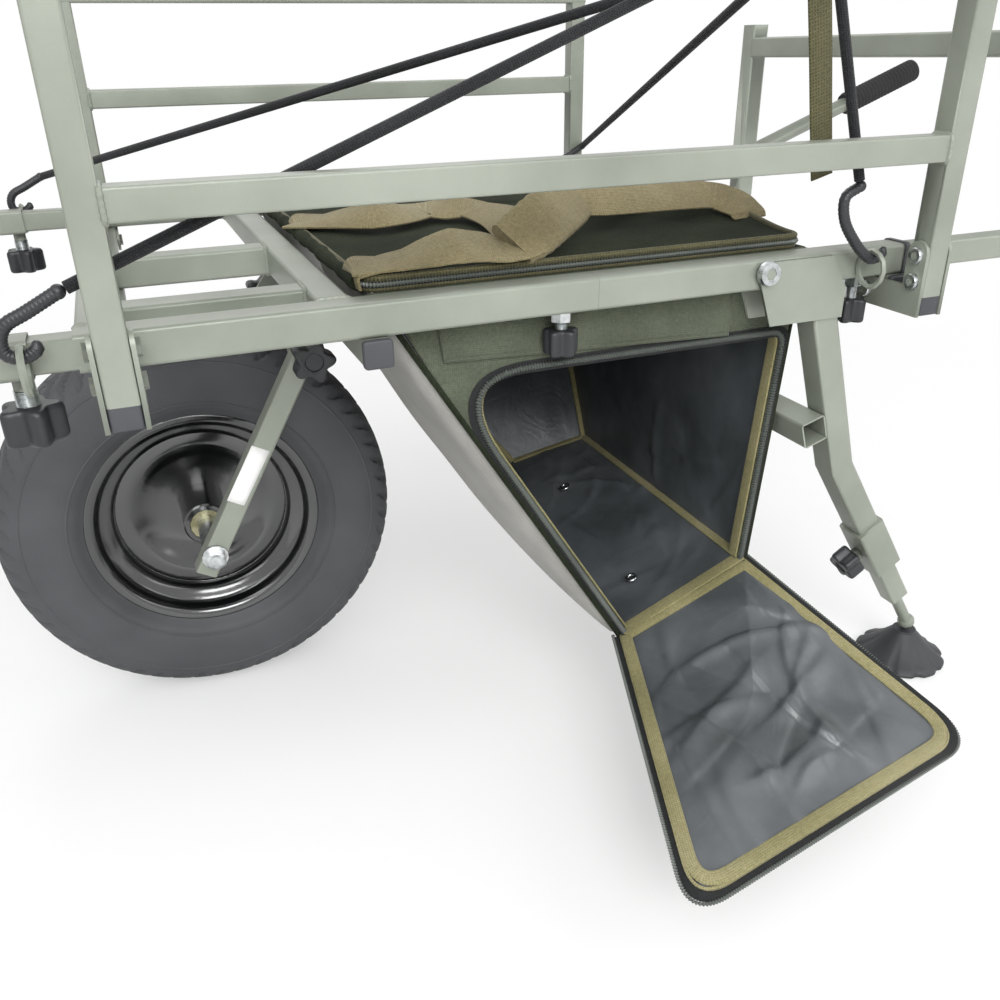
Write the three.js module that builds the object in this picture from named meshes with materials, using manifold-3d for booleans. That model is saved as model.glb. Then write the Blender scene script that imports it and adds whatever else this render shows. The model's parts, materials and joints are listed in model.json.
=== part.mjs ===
// A one-wheel fishing trolley: a square-tube deck on a fork and a pneumatic wheel, with two folding rear
// legs, folding side panels, a front extension, a rear handle frame, an under-deck bag and four cords.
// Millimetres. X runs to the rear from the wheel's axle, Y points to the far side, Z is the height above ground.
// The finished group is moved so that its origin is the top of the middle cross bar.

import * as THREE from 'three';
import { mergeVertices } from 'three/addons/utils/BufferGeometryUtils.js';
import { ConvexGeometry } from 'three/addons/geometries/ConvexGeometry.js';
import Module from 'manifold-3d';

const wasm = await Module();
wasm.setup();

// Clearances
const seam = 0.2; // between welded neighbours
const gap = 0.3; // between pieces that touch
const overrun = 1; // how far a cut runs past the face that it opens
const runningFit = 0.4; // radial, round bolts and pins
const platePlay = 0.4; // between a folding plate and the tube beside it

// Deck rails
const railSize = 25;
const railWall = 1.5;
const railRound = 3;
const railY = 287.5; // centre of each rail from the middle
const deckTop = 462;
const railFront = -66;
const railSeam = 295; // where the front and rear halves meet
const railRear = 590;
const railBottom = deckTop - railSize;
const railZ = deckTop - railSize / 2;
const railInner = railY - railSize / 2;
const railOuter = railY + railSize / 2;
const spigotFront = 235; // the rear half's spigot inside the front half
const spigotRear = 355;

// Slim tubes that slide in the rails
const slimSize = 21;
const swage = 0.2; // how far a swaged end bites into the tube round it

// Cross pieces
const crossBarFront = -53.5;
const crossBarMiddle = 101;
const bayBarNear = -227.5;
const bayBarFar = -51.5;
const underWidth = 20;
const underDepth = 25;
const middleUnderSize = 20;
const underFront = -44;
const underMiddle = 123;
const underRear = 582;

// Wheel
const tyreRadius = 193;
const tyreHalfWidth = 45;
const tyreShoulder = 184;
const tyreBulge = 155;
const tyreWall = 8;
const tubeWall = 2;
const rimRadius = 114;
const rimHalfWidth = 33;
const beadSeat = 104;
const wellRadius = 88;
const wellHalfWidth = 11;
const rimSheet = 2.5;
const beadHalfWidth = 29.5;
const discOffset = 1.5; // the disc's flat ring, from the wheel's middle plane
const discRing = 69;
const dishDepth = 14;
const dishMiddleShare = 0.8;
const hubRadius = 22;
const hubHalfLength = 40;
const bearingRadius = 16;
const bearingWidth = 10;
const axleRadius = 6;
const spacerRadius = 10;
const wheelSides = 28;
const axleHeight = tyreRadius;

// Fork
const armSize = 20;
const armWall = 2;
const armRound = 2;
const armY = 100; // centre of each arm from the middle
const pivotX = 106;
const pivotZ = 377;
const armAbovePivot = 16;
const armBelowAxle = 21;
const earThickness = 3.4;
const earWidth = 28;
const washerRadius = 12;
const washerThickness = 2;
const axleNutRadius = 10;
const axleNutHeight = 8;

// Clamp knobs: a lobed grip, a neck and a threaded stud
const studRadius = 4;
const studHoleRadius = studRadius + runningFit;
const nutRadius = 7;
const nutHeight = 8;
const lobes = 5;
const lobeDepthShare = 0.16;
const neckShare = 0.36;
const joinerKnobX = 270;
const joinerKnob = { radius: 14, height: 20, reach: 25.5, neck: 5.5 };
const handleKnobX = 546;
const handleKnob = { radius: 15, height: 20, reach: 30.5, neck: 10.5 };
const frontKnob = { radius: 20, height: 24, reach: 32, neck: 10 };
const frontKnobSetback = 8; // from the sleeve's rear end
const forkKnob = { radius: 19.5, height: 22, reach: 55, neck: 14 };
const forkStudTip = 80; // from the middle plane
const legKnob = { radius: 16.5, height: 18, reach: 20.5, neck: 1 };
const legNutHeight = 5;

// Side panels
const postSize = 20;
const postWall = 1.5;
const postRound = 2;
const panelY = 330.5;
const postBottom = 426;
const panelTop = 688;
const lowerRailZ = 541;
const farRailRise = 30; // the far panel's lower rail sits higher
const hingeY = 280;
const hingeZ = 422;
const plateThickness = 3;
const plateArm = 20;
const plateEndRadius = 12;
const plateTop = 471;
const hingeBoltRadius = 3;
const boltHeadRadius = 6;
const boltHeadHeight = 3;
const plateBoltHeights = [438, 459];
const plateGap = 0.3; // between each plate and the tubes beside it

// Rear legs
const legPivotX = 443.5;
const legPivotZ = 451.5;
const legTop = { x: 511, z: 410 };
const legBend = { x: 557, z: 259 };
const ballCentre = { x: 694, z: 46 };
const legTubeTop = 432.5;
const sleeveStart = 87; // along the lower tube, from the bend
const sleeveEnd = 149;
const sleeveSize = 31;
const innerTubeStart = 50;
const innerTubeEnd = 205;
const legBoltRadius = 4;
const legBoltHead = 9;
const legBoltHeadHeight = 5;
const legBoltTail = 1.2;
const bracketEnd = 8; // radius round the pivot bolt
const bracketBottom = 407;
const bracketTop = 459.5;
const bracketFrontFoot = 452;
const bracketRearTop = 508;
const bracketRear = 525;
const braceAlong = 105; // along the upper tube, from its top
const ballRadius = 9;
const stemRadius = 6;
const footRadius = 46;
const footRim = 4;
const footNeckRadius = 12;
const footEdgeShare = 0.9;
const footWaistShare = 0.65;
const legKnobAlong = 118;

// Front extension
const sleeveLength = 72;
const sleeveRearNear = -92;
const sleeveRearFar = -127;
const stubInSleeve = 54;
const stubInRail = 46;
const stubSwage = 26;
const sleeveLip = 2;
const extensionFront = -330;

// Rear handle frame
const handleTubeFront = 470;
const uprightX = 840.5;
const uprightBottom = 398;
const uprightTop = 640;
const topBarZ = 612;
const handleRadius = 10;
const handleWall = 1.5;
const handleStartZ = 472;
const handleEnd = { x: 1130, z: 576 };
const gripRadius = 16;
const gripLength = 125;
const gripSides = 20;

// Lashing rings
const ringRodRadius = 2.25;
const ringRadius = 14.5;
const ringBite = 1.2; // how deep the weld holds the ring in the tube's face
const ringDrop = 1; // below the rail's middle
const ringZ = railZ - ringDrop;
const ringNearRear = 537;
const ringFarRear = 562;
const ringSetback = 2; // from the front sleeve's rear end

// Bag
const cloth = 3;
const bagClearance = 5; // from each rail's inner face
const bagHalfWidth = railInner - bagClearance;
const bagLeftTop = 130;
const bagRight = 505;
const bagRimTop = deckTop - seam - gap;
const bagRimHeight = 6;
const bagRimRear = 514;
const bracketNook = 430; // behind this the rim is narrower, for the leg brackets
const archTop = 391;
const archInset = 8;
const archLeftCorner = 30;
const archRightCorner = 14;
const bagBottomNearLeft = { x: 344.8, z: 110.7 };
const bagBottomNearRight = { x: 480, z: 163.8 };
const bagBottomFarLeft = { x: 380, y: 95, z: 135 };
const bagBottomFarRight = { x: 492, y: 95, z: 153 };
const flapThickness = 4;
const flapRootGap = 0.4;
const flapCorner = 32;
const flapOuterLeft = { x: 257, y: -539, z: 81 };
const flapOuterRight = { x: 561, y: -483, z: 83 };
const lidFront = 114;
const lidRear = 516;
const lidThickness = 10;
const lidClearance = 3; // from each rail's inner face
const lidHalfWidth = railInner - lidClearance;
const strapWidth = 38;
const strapThickness = 3;
const strapSteps = 8;
const strapShares = {
  near: [[0.04, -0.82], [0.3, -0.61], [0.55, -0.43], [0.8, -0.42], [0.99, -0.45]],
  far: [[0.05, 0.1], [0.32, -0.1], [0.55, -0.24], [0.8, -0.24], [0.99, -0.27]],
};

// Cords, hooks and the lashing strap
const cordRadius = 4;
const cordSides = 8;
const cordSpacing = 24; // between the rings of a cord's tube
const hookRadius = 4;
const hookSides = 6;
const hookSteps = 12;
const knotRadius = 4.6;
const cordEnds = {
  near_front: { x: 401, z: 678 },
  far_front: { x: 472, z: 684 },
  near_rear: { x: 458, z: 678 },
  far_rear: { x: 429, z: 672 },
};
// Each hook's centre line as shares of the ring's radius, from the ring's centre
const hookShortShares = [
  [1.86, 3.03], [0.55, 2.34], [-0.28, 1.93], [-0.62, 1.38],
  [-0.55, 0.76], [0, 0.545], [0.55, 0.76], [0.69, 1.17],
];
const hookLongShares = [
  [-1.66, 4.55], [-2.55, 4], [-2.34, 2.76], [-1.38, 1.52],
  [-0.55, 0.79], [0, 0.545], [0.55, 0.76], [0.69, 1.17],
];
const lashWidth = 20;
const lashThickness = 2;
const lashTopDrop = 1; // below the top rail's upper face
const lashTop = { x: 438, z: panelTop - lashTopDrop };
const lashBend = { x: 444, z: panelTop - postSize };
const lashTail = { x: 484, y: -304, z: 522 };

const v = (x, y, z) => new THREE.Vector3(x, y, z);
const axisX = v(1, 0, 0);
const axisY = v(0, 1, 0);
const axisZ = v(0, 0, 1);

// Materials
function material(color, roughness, metalness) {
  return new THREE.MeshStandardMaterial({ color, roughness, metalness });
}
const paint = material(0xaab0a1, 0.5, 0.1);
const zinc = material(0xb9bcbd, 0.35, 0.9);
const blackSteel = material(0x101112, 0.15, 0.4);
const tyreRubber = material(0x57585c, 0.85, 0);
const plastic = material(0x2e2e33, 0.6, 0);
const footPlastic = material(0x3a3a3d, 0.7, 0);
const foam = material(0x1d1d1f, 0.9, 0);
const canvas = material(0x5e6656, 0.95, 0);
const lidCanvas = material(0x3b3f35, 0.95, 0);
const webbing = material(0xa08f68, 0.9, 0);
const elastic = material(0x26272a, 0.8, 0);
const olive = material(0x6c6647, 0.9, 0);

// A closed geometry, of three.js or of this file, as a solid for joining and cutting
function solid(geometry) {
  const bare = new THREE.BufferGeometry();
  bare.setAttribute('position', geometry.getAttribute('position'));
  if (geometry.index) bare.setIndex(geometry.index);
  const merged = mergeVertices(bare);
  const vertices = merged.getAttribute('position').array;
  const triangles = Uint32Array.from(merged.index.array);
  if (signedVolume(vertices, triangles) < 0) triangles.reverse();
  const vertProperties = Float32Array.from(vertices);
  const mesh = new wasm.Mesh({ numProp: 3, vertProperties, triVerts: triangles });
  return new wasm.Manifold(mesh);
}

// Negative where the faces point inwards
function signedVolume(vertices, triangles) {
  const corner = (i) => new THREE.Vector3().fromArray(vertices, 3 * triangles[i]);
  let sum = 0;
  for (let i = 0; i < triangles.length; i += 3) {
    sum += corner(i).dot(corner(i + 1).cross(corner(i + 2)));
  }
  return sum / 6;
}

const union = (pieces) => pieces.map(solid).reduce((whole, piece) => whole.add(piece));

// Joins the first list of geometries and cuts the second list out of them
function build(pieces, cuts = []) {
  let whole = union(pieces);
  if (cuts.length) whole = whole.subtract(union(cuts));
  const mesh = whole.getMesh();
  const geometry = new THREE.BufferGeometry();
  geometry.setAttribute('position', new THREE.BufferAttribute(mesh.vertProperties, 3));
  geometry.setIndex(new THREE.BufferAttribute(mesh.triVerts, 1));
  return geometry;
}

const trolley = new THREE.Group();
trolley.name = 'fishing_trolley';
trolley.position.set(-crossBarMiddle, 0, -deckTop);

function add(name, geometry, finish) {
  const flat = geometry.index ? geometry.toNonIndexed() : geometry;
  flat.computeVertexNormals();
  const mesh = new THREE.Mesh(flat, finish);
  mesh.name = name;
  trolley.add(mesh);
  return mesh;
}

// A block between two limits on each axis
function block(x, y, z) {
  const length = ([from, to]) => Math.abs(to - from);
  const geometry = new THREE.BoxGeometry(length(x), length(y), length(z));
  return geometry.translate((x[0] + x[1]) / 2, (y[0] + y[1]) / 2, (z[0] + z[1]) / 2);
}

const about = (centre, width) => [centre - width / 2, centre + width / 2];

// A rectangle with round corners, as a closed outline round the origin
function roundedOutline(width, height, radius) {
  const x = width / 2 - radius;
  const y = height / 2 - radius;
  const outline = new THREE.Shape();
  outline.absarc(x, y, radius, 0, Math.PI / 2);
  outline.absarc(-x, y, radius, Math.PI / 2, Math.PI);
  outline.absarc(-x, -y, radius, Math.PI, 1.5 * Math.PI);
  outline.absarc(x, -y, radius, 1.5 * Math.PI, 2 * Math.PI);
  outline.closePath();
  return outline;
}

// A plain rectangle as a closed outline round the origin
function squareOutline(width, height) {
  const outline = new THREE.Shape();
  outline.moveTo(-width / 2, -height / 2);
  outline.lineTo(width / 2, -height / 2);
  outline.lineTo(width / 2, height / 2);
  outline.lineTo(-width / 2, height / 2);
  outline.closePath();
  return outline;
}

// An outline pushed from one point to another, with its X along side, a unit vector square to the run
function run(outline, from, to, side, curveSegments = 1) {
  const along = v(0, 0, 0).subVectors(to, from);
  const depth = along.length();
  const geometry = new THREE.ExtrudeGeometry(outline, { depth, bevelEnabled: false, curveSegments });
  along.normalize();
  const other = v(0, 0, 0).crossVectors(along, side);
  return geometry.applyMatrix4(new THREE.Matrix4().makeBasis(side, other, along).setPosition(from));
}

// A round bar from one point to another
function rod(radius, from, to, sides = 10) {
  const along = v(0, 0, 0).subVectors(to, from);
  const geometry = new THREE.CylinderGeometry(radius, radius, along.length(), sides);
  geometry.translate(0, along.length() / 2, 0);
  geometry.applyQuaternion(new THREE.Quaternion().setFromUnitVectors(axisY, along.clone().normalize()));
  return geometry.translate(from.x, from.y, from.z);
}

// A flat plate: an outline in X and Z, between two limits on Y
function plateXZ(outline, y, curveSegments = 4) {
  const depth = Math.abs(y[1] - y[0]);
  const geometry = new THREE.ExtrudeGeometry(outline, { depth, bevelEnabled: false, curveSegments });
  geometry.rotateX(Math.PI / 2);
  return geometry.translate(0, Math.max(y[0], y[1]), 0);
}

// A flat plate: an outline in Y and Z, between two limits on X
function plateYZ(outline, x, curveSegments = 4) {
  const depth = x[1] - x[0];
  const geometry = new THREE.ExtrudeGeometry(outline, { depth, bevelEnabled: false, curveSegments });
  geometry.applyMatrix4(new THREE.Matrix4().makeBasis(axisY, axisZ, axisX));
  return geometry.translate(x[0], 0, 0);
}

// A square tube's outer block and the bore inside it, for welding with others
function tube(size, wall, round, from, to, side) {
  const outline = roundedOutline(size, size, round);
  const boreSize = size - 2 * wall;
  const bore = squareOutline(boreSize, boreSize);
  const past = v(0, 0, 0).subVectors(to, from).normalize().multiplyScalar(overrun);
  return {
    outer: run(outline, from, to, side),
    bore: run(bore, from.clone().sub(past), to.clone().add(past), side),
  };
}

const railTube = (from, to, side) => tube(railSize, railWall, railRound, from, to, side);
const slimTube = (from, to, side) => tube(slimSize, railWall, railRound - railWall / 2, from, to, side);
const postTube = (from, to, side) => tube(postSize, postWall, postRound, from, to, side);

// Tubes welded into one piece, with their bores joined
function weldment(tubes, extras = [], cuts = []) {
  return build([...tubes.map((t) => t.outer), ...extras], [...tubes.map((t) => t.bore), ...cuts]);
}

// A collar that fills the room between a slim tube and the rail round it
function swagedCollar(x, y) {
  const size = railSize - 2 * railWall + swage;
  return block(x, about(y, size), about(railZ, size));
}

// A lashing ring welded to a tube's outer face
const lashingRingY = railOuter + ringRadius + ringRodRadius - ringBite;
function lashingRing(x, side) {
  const ring = new THREE.TorusGeometry(ringRadius, ringRodRadius, 5, 12);
  ring.rotateY(Math.PI / 2);
  return ring.translate(x, side * lashingRingY, ringZ);
}

// A nut welded under a tube, and the hole for a knob's stud through both
const nutBottom = railBottom - nutHeight;
const weldNut = (x, y) => rod(nutRadius, v(x, y, nutBottom), v(x, y, railBottom + railWall / 2), 6);
const studHole = (x, y) => rod(studHoleRadius, v(x, y, nutBottom - overrun), v(x, y, railZ));

// A tube of rail size, bored, with what is welded to it
const bored = (part, extras = [], cuts = []) => build([part.outer, ...extras], [part.bore, ...cuts]);

// The lobed outline of a clamp knob's grip
function lobedOutline(radius) {
  const outline = new THREE.Shape();
  const steps = 4 * lobes;
  for (let i = 0; i < steps; i += 1) {
    const angle = (2 * Math.PI * i) / steps;
    const r = radius * (1 - lobeDepthShare * (1 - Math.cos(lobes * angle)));
    if (i === 0) outline.moveTo(r * Math.cos(angle), r * Math.sin(angle));
    else outline.lineTo(r * Math.cos(angle), r * Math.sin(angle));
  }
  outline.closePath();
  return outline;
}

// A clamp knob whose stud ends at tip. out points from the tip to the grip, and size.reach is the distance
// from the tip to the grip's middle.
function clampKnob(name, tip, out, side, size) {
  const at = (distance) => tip.clone().addScaledVector(out, distance);
  const gripNear = size.reach - size.height / 2;
  const gripFar = size.reach + size.height / 2;
  add(name, build([
    run(lobedOutline(size.radius), at(gripNear), at(gripFar), side),
    rod(size.radius * neckShare, at(gripNear - size.neck), at(gripNear + overrun)),
    rod(studRadius, at(0), at(gripNear + overrun)),
  ]), plastic);
}

const down = v(0, 0, -1);
const slimBottom = railZ - slimSize / 2;
const mirrored = (geometry) => geometry.clone().scale(1, -1, 1);

// Makes a geometry for the far side and, mirrored, for the near side
const bothSides = [['near', -1], ['far', 1]];
const forSide = (geometry, side) => (side < 0 ? mirrored(geometry) : geometry);

// Deck rails: each in two halves that a spigot joins, with the front extension's stub in the front half
for (const [name, side] of bothSides) {
  const y = side * railY;
  const at = (x) => v(x, y, railZ);
  const sleeveRear = side < 0 ? sleeveRearNear : sleeveRearFar;
  const stub = slimTube(at(sleeveRear - stubInSleeve), at(railFront + stubInRail), axisY);
  const front = railTube(at(railFront), at(railSeam - seam / 2), axisY);
  add(`rail_${name}_front`, build([
    bored(front, [weldNut(joinerKnobX, y)], [studHole(joinerKnobX, y)]),
    bored(stub, [swagedCollar([railFront, railFront + stubSwage], y)]),
  ]), paint);

  const spigot = slimTube(at(spigotFront), at(spigotRear), axisY);
  const rear = railTube(at(railSeam + seam / 2), at(railRear), axisY);
  const legBoltHole = rod(legBoltRadius + runningFit, v(legPivotX, side * (railInner - overrun), legPivotZ),
    v(legPivotX, side * (railOuter + overrun), legPivotZ));
  const ring = lashingRing(side < 0 ? ringNearRear : ringFarRear, side);
  add(`rail_${name}_rear`, build([
    bored(rear, [weldNut(handleKnobX, y), ring], [studHole(handleKnobX, y), legBoltHole]),
    bored(spigot, [swagedCollar([railSeam + seam / 2, spigotRear], y)]),
  ]), paint);

  clampKnob(`joiner_knob_${name}`, v(joinerKnobX, y, slimBottom - gap), down, axisX, joinerKnob);
  clampKnob(`handle_knob_${name}`, v(handleKnobX, y, slimBottom - gap), down, axisX, handleKnob);
  const frontKnobX = sleeveRear - frontKnobSetback;
  clampKnob(`front_knob_${name}`, v(frontKnobX, y, slimBottom - gap), down, axisX, frontKnob);
}

// Cross bars and bay bars, level with the rails
for (const [name, x] of [['front', crossBarFront], ['middle', crossBarMiddle]]) {
  const half = railInner - seam;
  add(`cross_bar_${name}`, bored(railTube(v(x, -half, railZ), v(x, half, railZ), axisX)), paint);
}
for (const [name, y] of [['near', bayBarNear], ['far', bayBarFar]]) {
  const front = crossBarFront + railSize / 2 + seam;
  const rear = crossBarMiddle - railSize / 2 - seam;
  add(`bay_bar_${name}`, bored(railTube(v(front, y, railZ), v(rear, y, railZ), axisY)), paint);
}

// Under tubes, welded below the rails
function underTube(x, width, depth) {
  const z = railBottom - seam - depth / 2;
  const outline = roundedOutline(width, depth, postRound);
  const bore = squareOutline(width - 2 * postWall, depth - 2 * postWall);
  return {
    outer: run(outline, v(x, -railOuter, z), v(x, railOuter, z), axisX),
    bore: run(bore, v(x, -railOuter - overrun, z), v(x, railOuter + overrun, z), axisX),
  };
}
const panelPivotHoles = (x) => [-1, 1].map((side) => rod(
  hingeBoltRadius + runningFit,
  v(x - underWidth, side * hingeY, hingeZ),
  v(x + underWidth, side * hingeY, hingeZ),
));
for (const [name, x] of [['front', underFront], ['rear', underRear]]) {
  add(`under_tube_${name}`, bored(underTube(x, underWidth, underDepth), [], panelPivotHoles(x)), paint);
}

// The middle under tube carries the two ears that the fork's arms swing on
const earInner = armY - armSize / 2 - gap - earThickness;
function forkEar(side) {
  const outline = new THREE.Shape();
  const half = earWidth / 2;
  const tubeTop = railBottom - seam - middleUnderSize + postWall / 2;
  const armTopClear = pivotZ + half;
  outline.moveTo(pivotX - half, pivotZ);
  outline.absarc(pivotX, pivotZ, half, Math.PI, 2 * Math.PI);
  outline.lineTo(underMiddle + middleUnderSize / 2, armTopClear);
  outline.lineTo(underMiddle + middleUnderSize / 2, tubeTop);
  outline.lineTo(underMiddle - middleUnderSize / 2, tubeTop);
  outline.lineTo(pivotX - half, armTopClear);
  outline.closePath();
  return plateXZ(outline, [side * earInner, side * (earInner + earThickness)]);
}
const forkPivot = (y) => v(pivotX, y, pivotZ);
const earNutInner = earInner - nutHeight;
const earNut = (side) => rod(
  nutRadius, forkPivot(side * earNutInner), forkPivot(side * (earInner + seam)), 6,
);
add('under_tube_middle', build(
  [
    bored(underTube(underMiddle, middleUnderSize, middleUnderSize)),
    ...[-1, 1].flatMap((s) => [forkEar(s), earNut(s)]),
  ],
  [-1, 1].map((s) => rod(studHoleRadius, forkPivot(s * (earNutInner - overrun)), forkPivot(s * armY))),
), paint);

// Wheel: a closed outline of radius and offset from the middle plane, turned round the axle
function turned(points, sides = wheelSides) {
  const profile = points.map(([r, y]) => new THREE.Vector2(r, y));
  profile.push(profile[0].clone());
  return new THREE.LatheGeometry(profile, sides).translate(0, 0, axleHeight);
}

const bead = beadSeat + gap;
const lipTop = rimRadius + gap;
const flangeInner = rimHalfWidth - rimSheet - gap;
const halfTyre = [
  [bead, beadHalfWidth], [lipTop, flangeInner], [lipTop, rimHalfWidth],
  [tyreBulge - 2 * tyreWall, tyreHalfWidth - seam], [tyreBulge + tyreWall, tyreHalfWidth],
  [tyreShoulder, tyreHalfWidth - tyreWall],
];
const halfCavity = [
  [tyreRadius - tyreWall, tyreHalfWidth / 4], [tyreBulge, tyreHalfWidth - tyreWall],
  [lipTop + tyreWall / 2, beadHalfWidth - tyreWall], [bead, beadHalfWidth - tyreWall],
];

// The mirror image of half an outline, in the order that closes the loop
const across = (points) => points.map(([r, y]) => [r, -y]).reverse();
const loop = (outer, inner) => [...outer, ...across(outer), ...across(inner), ...inner];
const crown = [tyreRadius, tyreHalfWidth / 4];
add('tyre', build([turned(loop([...halfTyre, crown], halfCavity))]), tyreRubber);

// The inner tube lines the tyre, open along a narrow slit on its inner side
const tubeFloor = lipTop - seam;
const tubeShoulder = lipTop + tyreWall / 2 + gap;
const halfTubeOuter = [
  [tubeFloor, gap], [tubeShoulder, beadHalfWidth - tyreWall - 2 * gap],
  [tyreBulge, tyreHalfWidth - tyreWall - gap],
  [tyreRadius - tyreWall - gap, tyreHalfWidth / 4],
];
const halfTubeInner = [
  [tyreRadius - tyreWall - gap - tubeWall, tyreHalfWidth / 4 - tubeWall / 2],
  [tyreBulge, tyreHalfWidth - tyreWall - gap - tubeWall],
  [tubeShoulder + tubeWall, beadHalfWidth - tyreWall - 2 * gap - tubeWall], [tubeFloor + tubeWall, gap],
];
add('inner_tube', build([turned(loop(halfTubeOuter, halfTubeInner))]), tyreRubber);

// The steel rim: a rolled barrel, a dished disc and a hub
const wellEdge = beadHalfWidth - wellHalfWidth;
const halfBarrelOuter = [
  [rimRadius, rimHalfWidth - rimSheet], [beadSeat, rimHalfWidth - rimSheet], [beadSeat, wellEdge],
  [wellRadius, wellHalfWidth],
];
const halfBarrelInner = [
  [wellRadius - rimSheet, wellHalfWidth + rimSheet / 2], [beadSeat - rimSheet, wellEdge + rimSheet / 2],
  [beadSeat - rimSheet, rimHalfWidth], [rimRadius, rimHalfWidth],
];
const discRim = wellRadius - rimSheet / 2;
const discHub = hubRadius - rimSheet / 2;
const discFace = (y) => [
  [discRim, y], [discRing, y], [(discRing + hubRadius) / 2, y + dishDepth * dishMiddleShare],
  [discHub, y + dishDepth],
];
const disc = [...discFace(discOffset - rimSheet / 2), ...discFace(discOffset + rimSheet / 2).reverse()];
const halfHub = [[hubRadius, hubHalfLength]];
const bearingSeat = bearingRadius + gap;
const halfHubBore = [
  [2 * axleRadius, hubHalfLength - bearingWidth - gap], [bearingSeat, hubHalfLength - bearingWidth - gap],
  [bearingSeat, hubHalfLength],
];
const smallSides = wheelSides / 2;
add('rim', build([
  turned(loop(halfBarrelOuter, halfBarrelInner)),
  turned(disc),
  turned(loop(halfHub, halfHubBore), smallSides),
]), blackSteel);
for (const [name, side] of bothSides) {
  const inner = side * (hubHalfLength - bearingWidth);
  const outer = side * hubHalfLength;
  const bore = axleRadius + runningFit;
  add(`bearing_${name}`, build([
    turned([[bearingRadius, inner], [bearingRadius, outer], [bore, outer], [bore, inner]], smallSides),
  ]), zinc);
}

// Axle: a rod with a spacer, washer and nut on each side
const onAxle = (y) => v(0, y, axleHeight);
const armOuter = armY + armSize / 2;
const armInner = armY - armSize / 2;
const nutStart = armOuter + gap + washerThickness;
const axleEnd = nutStart + axleNutHeight + axleRadius / 2;
add('axle', build([
  rod(axleRadius, onAxle(-axleEnd), onAxle(axleEnd)),
  ...[-1, 1].flatMap((s) => [
    rod(spacerRadius, onAxle(s * (hubHalfLength + gap)), onAxle(s * (armInner - gap))),
    rod(washerRadius, onAxle(s * (armOuter + gap)), onAxle(s * (nutStart + seam)), smallSides),
    rod(axleNutRadius, onAxle(s * nutStart), onAxle(s * (nutStart + axleNutHeight)), 6),
  ]),
]), zinc);

// Fork arms, clamped to the ears by a knob each
const armRun = v(pivotX, 0, pivotZ - axleHeight).normalize();
for (const [name, side] of bothSides) {
  const y = side * armY;
  const bottom = v(0, y, axleHeight).addScaledVector(armRun, -armBelowAxle);
  const top = v(pivotX, y, pivotZ).addScaledVector(armRun, armAbovePivot);
  const past = side * (armSize / 2 + overrun);
  add(`fork_arm_${name}`, bored(tube(armSize, armWall, armRound, bottom, top, axisY), [], [
    rod(axleRadius + runningFit, onAxle(y - past), onAxle(y + past)),
    rod(studHoleRadius, forkPivot(y - past), forkPivot(y + past)),
  ]), paint);
  clampKnob(`fork_knob_${name}`, forkPivot(side * forkStudTip), v(0, side, 0), axisX, forkKnob);
}

// Side panels: two posts and two rails, welded
const panelFaceY = panelY - postSize / 2;
for (const [name, side] of bothSides) {
  const y = side * panelY;
  const lowerZ = side < 0 ? lowerRailZ : lowerRailZ + farRailRise;
  const topZ = panelTop - postSize / 2;
  const inPost = postSize / 2 - postWall / 2;
  const posts = [underFront, underRear].map((x) => postTube(
    v(x, y, postBottom), v(x, y, panelTop - postSize + postWall / 2), axisX,
  ));
  const front = underFront - postSize / 2;
  const rear = underRear + postSize / 2;
  const rails = [
    postTube(v(underFront + inPost, y, lowerZ), v(underRear - inPost, y, lowerZ), axisY),
    postTube(v(front, y, topZ), v(rear, y, topZ), axisY),
  ];
  const boltHoles = [underFront, underRear].flatMap((x) => plateBoltHeights.map((z) => rod(
    hingeBoltRadius + runningFit, v(x - postSize, y, z), v(x + postSize, y, z),
  )));
  add(`side_panel_${name}`, weldment([...posts, ...rails], [], boltHoles), paint);
}

// Panel hinges: a pair of L plates on each post, bolted through it and through the under tube
function hingeOutline() {
  const r = plateArm / 2;
  const bottom = hingeZ - plateEndRadius;
  const outline = new THREE.Shape();
  outline.absarc(hingeY, hingeZ, plateEndRadius, -Math.PI / 2, -1.5 * Math.PI, true);
  outline.lineTo(panelY - r, hingeZ + plateEndRadius);
  outline.absarc(panelY, plateTop - r, r, Math.PI, 0, true);
  outline.lineTo(panelY + r, bottom);
  outline.closePath();
  return outline;
}
for (const [place, x] of [['front', underFront], ['rear', underRear]]) {
  const inner = postSize / 2 + plateGap;
  const outer = inner + plateThickness;
  const bolt = (y, z) => [
    rod(hingeBoltRadius, v(x - outer, y, z), v(x + outer, y, z), 8),
    ...[-1, 1].map((s) => rod(
      boltHeadRadius, v(x + s * (outer - seam), y, z), v(x + s * (outer + boltHeadHeight), y, z), 6,
    )),
  ];
  const hinge = build([
    plateYZ(hingeOutline(), [x - outer, x - inner], 3), plateYZ(hingeOutline(), [x + inner, x + outer], 3),
    ...bolt(hingeY, hingeZ), ...plateBoltHeights.flatMap((z) => bolt(panelY, z)),
  ]);
  for (const [name, side] of bothSides) add(`hinge_${name}_${place}`, build([forSide(hinge, side)]), paint);
}

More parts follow.
